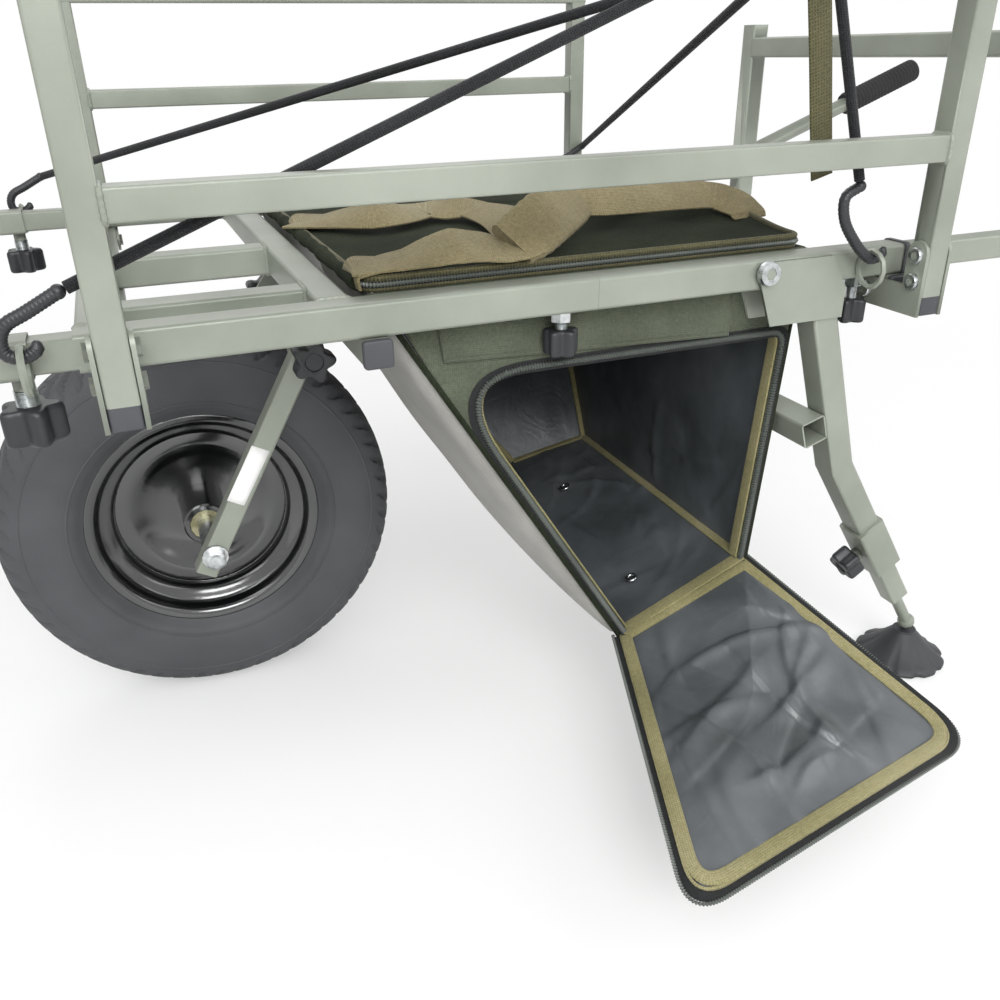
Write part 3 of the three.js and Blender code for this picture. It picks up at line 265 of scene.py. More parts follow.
LINING = woven("grey nylon lining", ("#45494B", "#525659", "#606467"), 1.0, 0.25, 0.03, sheen=0.0, crease_mm=0.7,
               crease_size=26.0, gap_shade=0.94, yarn=0.0, shine=0.5)
BINDING = woven("khaki grosgrain binding", ("#7C7752", "#908A62", "#A49D78"), 1.8, 0.8, 0.30, gap_shade=0.65)
WEBBING = woven("khaki polyester webbing", ("#71674A", "#867B59", "#9C9271"), 1.7, 0.8, 0.4, gap_shade=0.66)
OLIVE_WEBBING = woven("olive polyester webbing", ("#4A4830", "#58553A", "#666345"), 2.4, 0.8, 0.5, gap_shade=0.6)
ELASTIC = woven("black braided elastic cover", ("#141517", "#1E1F22", "#2A2B2E"), 1.8, 0.7, 0.5)
ZIP_TAPE = woven("black zip tape", ("#191A1B", "#222324", "#2C2D2E"), 1.0, 0.8, 0.15)
ZIP_NYLON = moulded("grey nylon zip teeth", ("#4E524E", "#616661"), 0.45, 1.0, 0.03)
LABEL_VINYL = moulded("white vinyl film", ("#EDEDEB", "#F4F4F2"), 0.5, 1.5, 0.01)


# Surfaces. Every shape is worked out as whole arrays: a grid over two parameters, or a profile along a path.

def grid_faces(rows, columns, wrap_rows=False, wrap_columns=False):
    """Quads over a grid of rows x columns points, each from a point, its neighbours along both ways, and the
    point across. A wrapped way joins its last line to its first."""
    r = np.arange(rows if wrap_rows else rows - 1)
    c = np.arange(columns if wrap_columns else columns - 1)
    r, c = np.meshgrid(r, c, indexing="ij")
    r_next, c_next = (r + 1) % rows, (c + 1) % columns
    return np.stack([r * columns + c, r * columns + c_next, r_next * columns + c_next, r_next * columns + c],
                    axis=-1).reshape(-1, 4)


def end_faces(rows, columns):
    """The two faces that close a tube of rows rings, each of columns points."""
    return range(columns), range((rows - 1) * columns, rows * columns)


class Shell:
    """Points, faces, one UV for each point, and a material, before they become part of a piece."""

    def __init__(self, points, faces, uv, material, caps=()):
        self.points = np.asarray(points, float).reshape(-1, 3)
        self.faces = [list(face) for face in faces] + [list(cap) for cap in caps]
        self.uv = np.asarray(uv, float).reshape(-1, 2)
        self.material = material


def smooth_mesh(mesh, sharp_degrees, dissolve=False):
    """Merges a mesh's doubled points, and then turns its faces outwards or, to dissolve, joins the ones that lie
    flat beside each other. The mesh is smooth except at edges sharper than sharp_degrees."""
    made = bmesh.new()
    made.from_mesh(mesh)
    bmesh.ops.remove_doubles(made, verts=made.verts, dist=MERGE_DISTANCE)
    if dissolve:
        bmesh.ops.dissolve_limit(made, angle_limit=math.radians(0.5), verts=made.verts, edges=made.edges)
    else:
        bmesh.ops.recalc_face_normals(made, faces=made.faces)
    made.to_mesh(mesh)
    made.free()
    mesh.polygons.foreach_set("use_smooth", np.ones(len(mesh.polygons), bool))
    mesh.set_sharp_from_angle(angle=math.radians(sharp_degrees))


def make_piece(name, shells, sharp_degrees=40.0):
    """One object from its shells, in metres at its place, smooth except at edges sharper than sharp_degrees."""
    mesh = bpy.data.meshes.new(name)
    offset, points, faces, indices, uvs, materials = 0, [], [], [], [], []
    for shell in shells:
        if shell.material not in materials:
            materials.append(shell.material)
        points.append(metres(shell.points))
        uvs.append(shell.uv)
        faces += [[i + offset for i in face] for face in shell.faces]
        indices += [materials.index(shell.material)] * len(shell.faces)
        offset += len(shell.points)
    mesh.from_pydata(np.concatenate(points).tolist(), [], faces)
    for material in materials:
        mesh.materials.append(material)
    mesh.polygons.foreach_set("material_index", np.array(indices, np.int32))
    corners = np.empty(len(mesh.loops), np.int32)
    mesh.loops.foreach_get("vertex_index", corners)
    layer = mesh.uv_layers.new(name="cloth")
    layer.data.foreach_set("uv", np.concatenate(uvs)[corners].astype(np.float32).ravel())
    smooth_mesh(mesh, sharp_degrees)
    return link_object(name, mesh)


def settle(piece, body, slot, *replaced):
    """Rides the piece on its body and hides the nodes that it stands for. The slot is not used."""
    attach(piece, body)
    if replaced:
        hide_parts(*replaced)


def lengths_along(line):
    """The length along a line from its first point to each of its points."""
    return np.concatenate([[0], np.cumsum(np.linalg.norm(np.diff(line, axis=0), axis=1))])


def path_frames(path, closed=False, up=(0.0, 0.0, 1.0)):
    """Side and upright directions along a path: the side is square to the path and to a fixed up direction."""
    before, after = np.roll(path, 1, axis=0), np.roll(path, -1, axis=0)
    if not closed:
        before[0], after[-1] = path[0], path[-1]
    along = unit(after - before)
    side = np.cross(along, np.asarray(up, float))
    weak = np.linalg.norm(side, axis=1) < 1e-3
    side[weak] = np.cross(along[weak], np.array([1.0, 0.0, 0.0]))
    side = unit(side)
    return along, side, np.cross(side, along)


def sweep(path, profile, material, closed=False, up=(0.0, 0.0, 1.0), swell=None):
    """A closed profile carried along a path: point = path + a * side + b * upright, where (a, b) is the profile's
    point, times the swell at that place on the path. UV is the way round and the way along, in metres."""
    path, profile = np.asarray(path, float), np.asarray(profile, float)
    _, side, upright = path_frames(path, closed, up)
    size = np.ones(len(path)) if swell is None else np.asarray(swell, float)
    points = (path[:, None] + size[:, None, None] * (profile[None, :, :1] * side[:, None]
                                                     + profile[None, :, 1:] * upright[:, None]))
    uv = np.stack(np.broadcast_arrays(lengths_along(profile)[None] * MM, lengths_along(path)[:, None] * MM), axis=-1)
    rows, columns = len(path), len(profile)
    caps = () if closed else end_faces(rows, columns)
    return Shell(points, grid_faces(rows, columns, closed, True), uv, material, caps)


def oval(a, b, sides, centre=(0.0, 0.0)):
    """An oval profile about its centre: (a cos t, b sin t)."""
    turn = np.linspace(0, 2 * np.pi, sides, endpoint=False)
    return np.stack([centre[0] + a * np.cos(turn), centre[1] + b * np.sin(turn)], axis=1)


def circle(radius, sides):
    """A round profile."""
    return oval(radius, radius, sides)


def rounded(width, height, radius, steps=4):
    """A rectangular profile with round corners, each a quarter circle of the radius."""
    turn = np.linspace(0, np.pi / 2, steps)
    arc = np.stack([np.cos(turn), np.sin(turn)], axis=1) * radius
    corners = []
    for quarter, (sx, sy) in enumerate(((1, 1), (-1, 1), (-1, -1), (1, -1))):
        c, s = math.cos(quarter * math.pi / 2), math.sin(quarter * math.pi / 2)
        corners.append(arc @ np.array([[c, s], [-s, c]]) + [sx * (width / 2 - radius), sy * (height / 2 - radius)])
    return np.concatenate(corners)


def smooth_path(points, count, closed=False):
    """Count points on a Catmull-Rom curve through the given points, evenly spaced along it."""
    points = np.asarray(points, float)
    extended = (np.vstack([points[-1], points, points[:2]]) if closed
                else np.vstack([2 * points[0] - points[1], points, 2 * points[-1] - points[-2]]))
    t = np.linspace(0, 1, 24, endpoint=False)[:, None]
    pieces = []
    for a, b, c, d in zip(extended[:-3], extended[1:-2], extended[2:-1], extended[3:]):
        pieces.append(0.5 * (2 * b + (c - a) * t + (2 * a - 5 * b + 4 * c - d) * t ** 2
                             + (3 * b - a - 3 * c + d) * t ** 3))
    dense = np.concatenate(pieces + [extended[-2][None]])
    return spaced(dense, count + 1)[:-1] if closed else spaced(dense, count)


def spaced(path, count):
    """The same path with count points, evenly spaced along its length."""
    path = np.asarray(path, float)
    length = lengths_along(path)
    want = np.linspace(0, length[-1], count)
    return np.stack([np.interp(want, length, path[:, k]) for k in range(3)], axis=1)


def lathe(profile, centre, axis, material, segments=96, closed=False, start=(1.0, 0.0, 0.0), wobble=None):
    """A profile of (radius, place along the axis) turned about the axis. Wobble multiplies the radius by its value
    at each angle and profile point. UV is the way round and the way along the profile, in metres."""
    profile = np.asarray(profile, float)
    axis, start = unit(axis), unit(start)
    start = unit(start - axis * (start @ axis))
    other = np.cross(axis, start)
    turn = np.linspace(0, 2 * np.pi, segments, endpoint=False)
    radius = np.broadcast_to(profile[None, :, 0], (segments, len(profile))).copy()
    if wobble is not None:
        radius = radius * wobble(turn[:, None], np.arange(len(profile))[None])
    ring = np.cos(turn)[:, None] * start + np.sin(turn)[:, None] * other
    points = np.asarray(centre) + radius[..., None] * ring[:, None] + profile[None, :, 1:] * axis
    uv = np.stack(np.broadcast_arrays(turn[:, None] * profile[:, 0].max() * MM, lengths_along(profile)[None] * MM),
                  axis=-1)
    return Shell(points, grid_faces(segments, len(profile), True, closed), uv, material)


def corner_bend(corner, before, after, reach_before, reach_after, steps):
    """A corner rounded by a quadratic curve, from reach_before towards the point before it to reach_after towards
    the point after it: (1 - t) ** 2 * start + 2 * t * (1 - t) * corner + t ** 2 * end."""
    t = np.linspace(0, 1, steps)[:, None]
    start, end = corner + unit(before - corner) * reach_before, corner + unit(after - corner) * reach_after
    return (1 - t) ** 2 * start + 2 * t * (1 - t) * corner + t ** 2 * end


def wave_sum(points, waves, seed):
    """A smooth random height: a sum of sines of the place, whose directions and phases come from the seed. Waves
    are (wavelength in millimetres, height) pairs."""
    draw = np.random.default_rng(seed)
    total = np.zeros(points.shape[:-1])
    for wavelength, height in waves:
        for _ in range(3):
            way = unit(draw.normal(size=3))
            total += height / 3 * np.sin(points @ way * (2 * np.pi / wavelength) + draw.uniform(0, 2 * np.pi))
    return total


def softly_above(height, lowest):
    """The height, eased so that it never falls below the lowest one: lowest + log(1 + exp(height - lowest))."""
    return lowest + np.logaddexp(0, height - lowest)


def wrinkle_sum(points, normal, height, seed, count=44):
    """Soft folds of thin nylon: each is a bent line of its own place, direction and length on the cloth. Its
    height is h * exp(-(d / w) ** 2) * exp(-(l / L) ** 4), d across it and l along it, and w is 0.45 as wide on
    one side, so that a fold leans over."""
    draw = np.random.default_rng(seed)
    first = unit(np.cross(normal, [0.31, 0.87, 0.38]))
    second = np.cross(normal, first)
    x, y = points @ first, points @ second
    total = np.zeros(x.shape)
    main_way = draw.uniform(0, np.pi)
    for _ in range(count):
        x0, y0 = draw.uniform(x.min(), x.max()), draw.uniform(y.min(), y.max())
        way = main_way + draw.normal(0, 0.75)
        length, width = draw.uniform(25, 95), draw.uniform(5, 15)
        rise = height * draw.choice([-0.7, 1.0]) * width / 15
        across = (x - x0) * math.cos(way) + (y - y0) * math.sin(way)
        along = (y - y0) * math.cos(way) - (x - x0) * math.sin(way)
        off = across + draw.normal(0, 0.0032) * along ** 2
        off = np.where(off > 0, off, off / 0.45) / width
        total += rise * np.exp(-off ** 2) * np.exp(-(along / length) ** 4)
    return total


# Steel pieces: each keeps its node's shape, with its points joined so that the rounded corners shade smoothly

STEEL_NODES = [n for n in nodes if body_of_node[n] in ("deck", "near_panel", "far_panel", "legs", "near_leg_tube",
                                                       "far_leg_tube", "front_frame", "handle_frame", "fork")
               and not n.startswith(("bag_", "cord_", "grip_", "lash_", "axle"))]


def finish_steel(node, material, slot):
    """A copy of a node's mesh with doubled points merged. Edges under 50 degrees shade smoothly, and flat faces keep
    their own normals, so a chamfered tube corner looks rolled."""
    mesh = nodes[node].data.copy()
    mesh.name = node + "_finish"
    mesh.materials.clear()
    mesh.materials.append(material)
    smooth_mesh(mesh, 50, dissolve=True)
    piece = link_object(node + "_finish", mesh)
    weighted = piece.modifiers.new("flat faces stay flat", "WEIGHTED_NORMAL")
    weighted.keep_sharp = True
    weighted.weight = 90
    settle(piece, body_of_node[node], slot, node)


for steel_node in STEEL_NODES:
    finish_steel(steel_node, GREEN_COAT, "green_powder_coat")
finish_steel("axle", ZINC, "zinc_plate")
for side_name in ("near", "far"):
    finish_steel("bearing_" + side_name, DULL_ZINC, "zinc_plate")
nodes["inner_tube"].data.materials.clear()
nodes["inner_tube"].data.materials.append(TUBE_RUBBER)


# Small steel and plastic fittings on the frame

def box_path(centre, width, height, normal, radius=3.0, count=56):
    """A closed path round a rectangular joint: a rounded rectangle in the plane square to the normal axis."""
    outline = spaced(np.column_stack([rounded(width, height, radius, 6), np.zeros(24)])[list(range(24)) + [0]],
                     count + 1)[:-1]
    first, second = [k for k in range(3) if k != normal]
    path = np.tile(np.asarray(centre, float), (count, 1))
    path[:, first] += outline[:, 0]
    path[:, second] += outline[:, 1]
    return path


BEAD_RADIUS = 1.9
DECK_BEAD_SPAN = 24
PANEL_TUBE = 20
PANEL_RAIL_Z = {"near": 541, "far": 571}
RAIL_INNER_Y = 274.8
CROSS_BARS_X = (-53.5, 101)
BAY_BARS_Y, BAY_BAR_ENDS_X = (-227.5, -51.5), (-40.8, 88.3)


def weld_bead(centre, width, height, normal):
    """A thin bead round a welded joint, rippled along its length: radius * (1 + 0.18 * sin)."""
    path = box_path(centre, width, height, normal)
    ripple = 1 + 0.18 * np.sin(np.arange(len(path)) * 2.1)
    up = np.eye(3)[normal]
    return sweep(path, circle(BEAD_RADIUS, 8), GREEN_COAT, closed=True, up=up, swell=ripple)


for side_name, side in SIDES:
    beads = [weld_bead((x, side * PANEL_Y, PANEL_RAIL_Z[side_name]), PANEL_TUBE, PANEL_TUBE, 0)
             for x in (POSTS[0] + PANEL_TUBE / 2, POSTS[1] - PANEL_TUBE / 2)]
    settle(make_piece(f"weld_beads_{side_name}_panel", beads), f"{side_name}_panel", "green_powder_coat")
deck_beads = [weld_bead((x, s * RAIL_INNER_Y, RAIL_Z), DECK_BEAD_SPAN, DECK_BEAD_SPAN, 1)
              for x in CROSS_BARS_X for s in (-1, 1)]
deck_beads += [weld_bead((x, y, RAIL_Z), DECK_BEAD_SPAN, DECK_BEAD_SPAN, 0)
               for y in BAY_BARS_Y for x in BAY_BAR_ENDS_X]
settle(make_piece("weld_beads_deck", deck_beads), "deck", "green_powder_coat")


POST_END_Z = 426
POST_CAP_SIZE = (PANEL_TUBE, PANEL_TUBE, 15.5)
UNDER_TUBE_END_Y = 300.1
UNDER_TUBES = [(-44, 424.3, 20, 24.5), (123, 426.4, 21.5, 20.5), (582, 424.3, 20, 24.5)]  # X, Z, width, height


def end_cap(centre, size, axis, out):
    """A pushed-on cap: a rounded block along one axis whose outer rim is eased by a quarter circle. Size is width,
    height and depth, and out is the way that the closed end faces."""
    width, height, depth = size
    ease = np.linspace(0, np.pi / 2, 5)
    along = np.concatenate([[0], depth - 1.5 + 1.5 * np.sin(ease)])
    draw_in = np.concatenate([[0], 1.5 * (1 - np.cos(ease))])
    first, second = [k for k in range(3) if k != axis]
    rings = []
    for place, inset in zip(along, draw_in):
        outline = rounded(width - 2 * inset, height - 2 * inset, 2.6 - 0.6 * inset / 1.5, 4)
        ring = np.tile(np.asarray(centre, float), (len(outline), 1))
        ring[:, first] += outline[:, 0]
        ring[:, second] += outline[:, 1]
        ring[:, axis] += out * place
        rings.append(ring)
    rows, columns = len(rings), len(rings[0])
    uv = np.zeros((rows * columns, 2))
    return Shell(np.stack(rings), grid_faces(rows, columns, False, True), uv, CAP_PLASTIC, end_faces(rows, columns))


for side_name, side in SIDES:
    post_caps = [end_cap((x, side * PANEL_Y, POST_END_Z), POST_CAP_SIZE, 2, -1) for x in POSTS]
    settle(make_piece(f"post_caps_{side_name}", post_caps), f"{side_name}_panel", "black_plastic")
tube_caps = [end_cap((x, s * UNDER_TUBE_END_Y, z), (w, h, 5), 1, s) for s in (-1, 1) for x, z, w, h in UNDER_TUBES]
settle(make_piece("under_tube_caps", tube_caps), "deck", "black_plastic")
rail_bushes = [sweep(box_path((588, s * RAIL_Y, RAIL_Z), 25.8, 25.8, 0), rounded(1.4, 5.0, 0.5), CAP_PLASTIC,
                     closed=True, up=(1, 0, 0)) for s in (-1, 1)]
settle(make_piece("rail_bushes", rail_bushes), "deck", "black_plastic")


# Wheel: tyre, rim and their hidden inner tube, all turned about the axle

AXLE = (0.0, 0.0, AXLE_Z)
AXLE_AXIS = (0.0, 1.0, 0.0)
TYRE_RADIUS = AXLE_Z


def flat_path(points, count):
    """A smooth open profile of count (radius, place) points."""
    return smooth_path(np.column_stack([points, np.zeros(len(points))]), count)[:, :2]


def sheet_loop(points, thickness, count):
    """A closed profile round a bent sheet: its smooth middle line, moved half the thickness to either side."""
    line = flat_path(points, count)
    along = unit(np.gradient(line, axis=0))
    across = np.column_stack([-along[:, 1], along[:, 0]]) * thickness / 2
    return np.concatenate([line + across, (line - across)[::-1]])


TYRE_HALF = [(104.4, -29.4), (109, -30), (114.6, -33.2), (124, -40.5), (138, -44.4), (156, -45), (172, -42.2),
             (182.5, -37), (189, -28), (192, -14), (TYRE_RADIUS, 0)]
TREAD_BLOCKS = 54
SEGMENTS_PER_BLOCK = 16
TREAD_START = 176
ZIGZAG_PLACE = 9
TREAD_DEPTH = 5.0


def on_axle(profile, material, segments, wobble=None):
    """A closed profile of (radius, place along the axle), turned round the axle."""
    return lathe(profile, AXLE, AXLE_AXIS, material, segments, closed=True, wobble=wobble)


def make_tyre():
    """The tyre's outer skin is a smooth profile turned round the axle. Its tread is cut by two zigzag grooves, at
    ZIGZAG_PLACE either side of the middle, and by slanted cross grooves over the shoulders, all TREAD_DEPTH deep.
    Cuts between the zigzags are 0.6 as deep."""
    outer = flat_path(TYRE_HALF + [(r, -y) for r, y in TYRE_HALF[-2::-1]], 74)
    cavity = [(104.4, 22), (118, 21.5), (155, 36.8), (185, 11.3), (185, -11.3), (155, -36.8), (118, -21.5),
              (104.4, -22)]
    profile = np.concatenate([outer, cavity])

    def tread(turn, index):
        across = profile[index, 1]
        on_tread = np.clip((profile[index, 0] - TREAD_START) / 4, 0, 1) * (index < len(outer))
        phase = turn * TREAD_BLOCKS
        zigzag = 3.2 * np.abs(((phase / np.pi) % 2) - 1) - 1.6
        groove = np.exp(-(((np.abs(across) - ZIGZAG_PLACE - zigzag) / 1.7) ** 4))
        slant = np.sin(phase + np.sign(across) * 0.35 * across)
        cross = np.clip((slant - 0.45) * 4, 0, 1) * np.clip((np.abs(across) - 13) / 3, 0, 1)
        middle = np.clip((np.sin(phase + 2.2) - 0.75) * 5, 0, 1) * (np.abs(across) < 6)
        return 1 - TREAD_DEPTH / TYRE_RADIUS * on_tread * np.maximum(np.maximum(groove, cross), 0.6 * middle)

    shells = [on_axle(profile, TYRE_RUBBER, TREAD_BLOCKS * SEGMENTS_PER_BLOCK, tread)]
    for side in (-1, 1):
        for rib in ((128, side * 42.3), (168, side * 43.2)):
            shells.append(on_axle(oval(1.3, side * 0.7, 8, rib), TYRE_RUBBER, 160))
    return make_piece("treaded_tyre", shells, sharp_degrees=50)


def make_rim():
    """A rolled barrel with turned-over lips, a dished disc with a rippled weld, and a hub, turned round the axle."""
    half_barrel = [(111.8, -31.8), (106, -30), (103, -26), (102.6, -21), (99, -16.5), (91, -12.5), (87, -8),
                   (86.6, 0)]
    barrel = sheet_loop(half_barrel + [(r, -y) for r, y in half_barrel[-2::-1]], 2.5, 70)
    disc = sheet_loop([(87.5, 1.5), (80, 1.2), (72, 1.6), (66, 4), (56, 9.5), (44, 13.4), (32, 15), (21.5, 15.4)],
                      2.5, 50)
    lips = [oval(2.3, 1.9, 16, (111.6, side * 31)) for side in (-1, 1)]
    shells = [on_axle(profile, BLACK_ENAMEL, 160) for profile in (barrel, disc, *lips)]
    shells.append(on_axle(oval(2.2, 3.2, 16, (86, 1.5)), BLACK_ENAMEL, 160,
                          lambda turn, index: 1 + 0.004 * np.sin(90 * turn) * (index >= 0)))
    hub = [(16.4, -40), (20.5, -40), (22, -38.5), (22, 38.5), (20.5, 40), (16.4, 40), (16.4, 29.8), (12, 29.5),
           (12, -29.5), (16.4, -29.8)]
    shells.append(on_axle(hub, BLACK_ENAMEL, 64))
    return make_piece("dished_rim", shells, sharp_degrees=40)


settle(make_tyre(), "wheel", "tyre_rubber", "tyre")
settle(make_rim(), "wheel", "black_enamel", "rim")


# Clamp knobs: a five-lobed grip, a neck and a plated stud

KNOB_LOBES = 5
STUD_TIP_Z = 438.7
LEG_RUN = unit([137.0, 0.0, -213.0])
LEG_BEND = np.array([557.0, 0.0, 259.0])
LEG_FRONT = np.array([LEG_RUN[2], 0.0, -LEG_RUN[0]])
# Each knob's screw tip, the way from it to the grip, its first lobe's way, and its radius, height, reach and neck
KNOBS = {}
for side_name, side in SIDES:
    y = side * RAIL_Y
    KNOBS[f"joiner_knob_{side_name}"] = ((270, y, STUD_TIP_Z), (0, 0, -1), (1, 0, 0), (14, 20, 25.5, 5.5))
    KNOBS[f"handle_knob_{side_name}"] = ((546, y, STUD_TIP_Z), (0, 0, -1), (1, 0, 0), (15, 20, 30.5, 10.5))
    front_x = -100 if side < 0 else -135
    KNOBS[f"front_knob_{side_name}"] = ((front_x, y, STUD_TIP_Z), (0, 0, -1), (1, 0, 0), (20, 24, 32, 10))
    KNOBS[f"fork_knob_{side_name}"] = ((106, side * 80, 377), (0, side, 0), (1, 0, 0), (19.5, 22, 55, 14))
    leg_tip = LEG_BEND + LEG_RUN * 118 + LEG_FRONT * 10.8 + [0, y, 0]
    KNOBS[f"leg_knob_{side_name}"] = (leg_tip, LEG_FRONT, (0, 1, 0), (16.5, 18, 20.5, 1))


def make_knob(name, tip, out, start, size):
    """The grip's radius at angle a is radius * (1 - 0.16 * (1 - cos 5a)), eased to its crown by a quarter circle.
    The collar and the stud are rods whose radius steps in and out, as shallow threads do."""
    radius, height, reach, neck = size
    low, high = reach - height / 2, reach + height / 2
    ease = np.linspace(0, np.pi / 2, 6)
    round_edge = 0.16 * radius
    profile = np.concatenate([
        [(0, low), (radius * 0.62, low)],
        np.column_stack([radius - round_edge * (1 - np.sin(ease)), low + round_edge * (1 - np.cos(ease)) * 1.2]),
        np.column_stack([radius - round_edge * (1 - np.cos(ease)), high - round_edge * (1 - np.sin(ease)) * 1.2]),
        [(radius * 0.7, high), (radius * 0.42, high - 0.6), (radius * 0.38, high - 2.0), (0, high - 2.0)],
    ])

    def lobes(turn, index):
        weight = np.clip((profile[index, 0] / radius - 0.4) / 0.3, 0, 1)
        return 1 - 0.16 * weight * (1 - np.cos(KNOB_LOBES * turn))

    turns = np.linspace(low - neck, low + 1, 21)
    collar = np.concatenate([[(0, turns[0])], np.column_stack([radius * (0.36 - 0.03 * (np.arange(21) % 2)), turns]),
                             [(0, turns[-1])]])
    stud_places = np.linspace(0, low, 40)
    stud = np.concatenate([[(0, 0)], np.column_stack([4 - 0.35 * (np.arange(40) % 2), stud_places]), [(0, low)]])
    return make_piece(name + "_grip", [
        lathe(profile, tip, out, BLACK_PLASTIC, 90, start=start, wobble=lobes),
        lathe(collar, tip, out, ZINC, 36, start=start),
        lathe(stud, tip, out, ZINC, 24, start=start),
    ], sharp_degrees=45)


def bolt_head(centre, axis, out, radius, height):
    """A domed bolt head with an eased edge and a hexagonal socket, standing on a face."""
    way = np.eye(3)[axis] * out
    profile = [(0, 0), (radius, 0), (radius, height * 0.55), (radius - 0.9, height), (radius * 0.5, height),
               (radius * 0.45, height * 0.4), (0, height * 0.4)]

    def socket(turn, index):
        return 1 - 0.12 * (index >= 4) * (1 + np.cos(6 * turn)) / 2

    return lathe(profile, centre, way, ZINC, 48, start=np.roll(way, 1), wobble=socket)


for side_name, side in SIDES:
    plate_bolts = [bolt_head((x + s * 13.2, side * y, z), 0, s, 6.9, 3.6)
                   for x in POSTS[1:] for s in (-1, 1) for y, z in ((280, 422), (PANEL_Y, 438), (PANEL_Y, 459))]
    settle(make_piece(f"panel_bolts_{side_name}", plate_bolts), f"{side_name}_panel", "zinc_plate")
    leg_bolt = bolt_head((443.5, side * 303.35, 451.5), 1, side, 9.8, 5.6)
    settle(make_piece(f"leg_bolt_{side_name}", [leg_bolt]), "legs", "zinc_plate")
nut_profile = [(0, -8.2), (7.6, -8.2), (8.1, -7.6), (8.1, 0), (0, 0)]
weld_nuts = [lathe(nut_profile, (x, s * RAIL_Y, 436.9), (0, 0, 1), ZINC, 6) for s in (-1, 1) for x in (270, 546)]
settle(make_piece("weld_nuts", weld_nuts, sharp_degrees=30), "deck", "zinc_plate")


for knob_name, knob in KNOBS.items():
    settle(make_knob(knob_name, *knob), body_of_node[knob_name], "black_plastic", knob_name)


# Feet and grips

FOOT_PROFILE = [(0, 0), (43.5, 0), (45.4, 1.2), (46, 3.8), (44.6, 6.4), (40, 9), (31, 15.5), (23, 23), (17, 29.5),
                (13.2, 33.5), (12, 35), (12, 36.2), (11.4, 36.7), (0, 36.7)]
FOOT_X = 694
HANDLE_END = np.array([1130.0, 0.0, 576.0])
HANDLE_WAY = unit(HANDLE_END - [846.75, 0, 472])
GRIP_BORE, GRIP_LENGTH, GRIP_RIB_PITCH = 10.4, 125, 6
for side_name, side in SIDES:
    profile = np.array(FOOT_PROFILE, float)

    def notches(turn, index, profile=profile):
        """Ten shallow notches round the sole's edge and flutes up the dome: radius * (1 - 0.055 * notch)."""
        depth = np.clip((profile[index, 0] - 18) / 20, 0, 1)
        return 1 - 0.055 * depth * np.clip(np.cos(10 * turn) * 2 - 0.6, 0, 1)

    foot = make_piece(f"mud_foot_{side_name}", [
        lathe(profile, (FOOT_X, side * RAIL_Y, 0), (0, 0, 1), FOOT_RUBBER, 120, wobble=notches),
    ], sharp_degrees=35)
    settle(foot, f"{side_name}_foot", "foot_plastic", f"foot_{side_name}")
    ribs = np.linspace(-122, 1, 124)
    grip_outer = np.column_stack([15.5 + 0.45 * np.cos(ribs * 2 * np.pi / GRIP_RIB_PITCH), ribs])
    grip_loop = np.concatenate([[(GRIP_BORE, -GRIP_LENGTH), (14.5, -GRIP_LENGTH)], grip_outer,
                                [(15.2, 3.4), (12.5, 5.3), (0, 5.4)]])
    grip_inner = [(0, 0.4), (GRIP_BORE, 0.4), (GRIP_BORE, -GRIP_LENGTH)]
    grip = make_piece(f"foam_grip_{side_name}", [
        lathe(np.concatenate([grip_loop, grip_inner]), HANDLE_END + [0, side * RAIL_Y, 0], HANDLE_WAY, GRIP_FOAM, 48),
    ], sharp_degrees=50)
    settle(grip, "handle_frame", "grip_foam", f"grip_{side_name}")


# Elastic cords and their hooks

RING_RADIUS = 14.5
RING_Z = 448.5
RING_Y = 315.55
KNOT_RADIUS = 4.6
HOOK_BAR_RADIUS = 4.2
CORD_RADIUS = 4.0
# Each hook's bends, in X and Z from the middle of its ring, as shares of the ring's radius
HOOK_SHORT_SHARES = [(1.86, 3.03), (0.55, 2.34), (-0.28, 1.93), (-0.62, 1.38), (-0.55, 0.76), (0, 0.545),
                     (0.55, 0.76), (0.69, 1.17)]
HOOK_LONG_SHARES = [(-1.66, 4.55), (-2.55, 4), (-2.34, 2.76), (-1.38, 1.52), (-0.55, 0.79), (0, 0.545),
                    (0.55, 0.76), (0.69, 1.17)]
# The ring's X and side, the hook's bends, and the X and Z of the cord's upper end
CORDS = {
    "near_front": (-94, -1, HOOK_SHORT_SHARES, (401, 678)),
    "far_front": (-129, 1, HOOK_SHORT_SHARES, (472, 684)),
    "near_rear": (537, -1, HOOK_LONG_SHARES, (458, 678)),
    "far_rear": (562, 1, HOOK_SHORT_SHARES, (429, 672)),
}


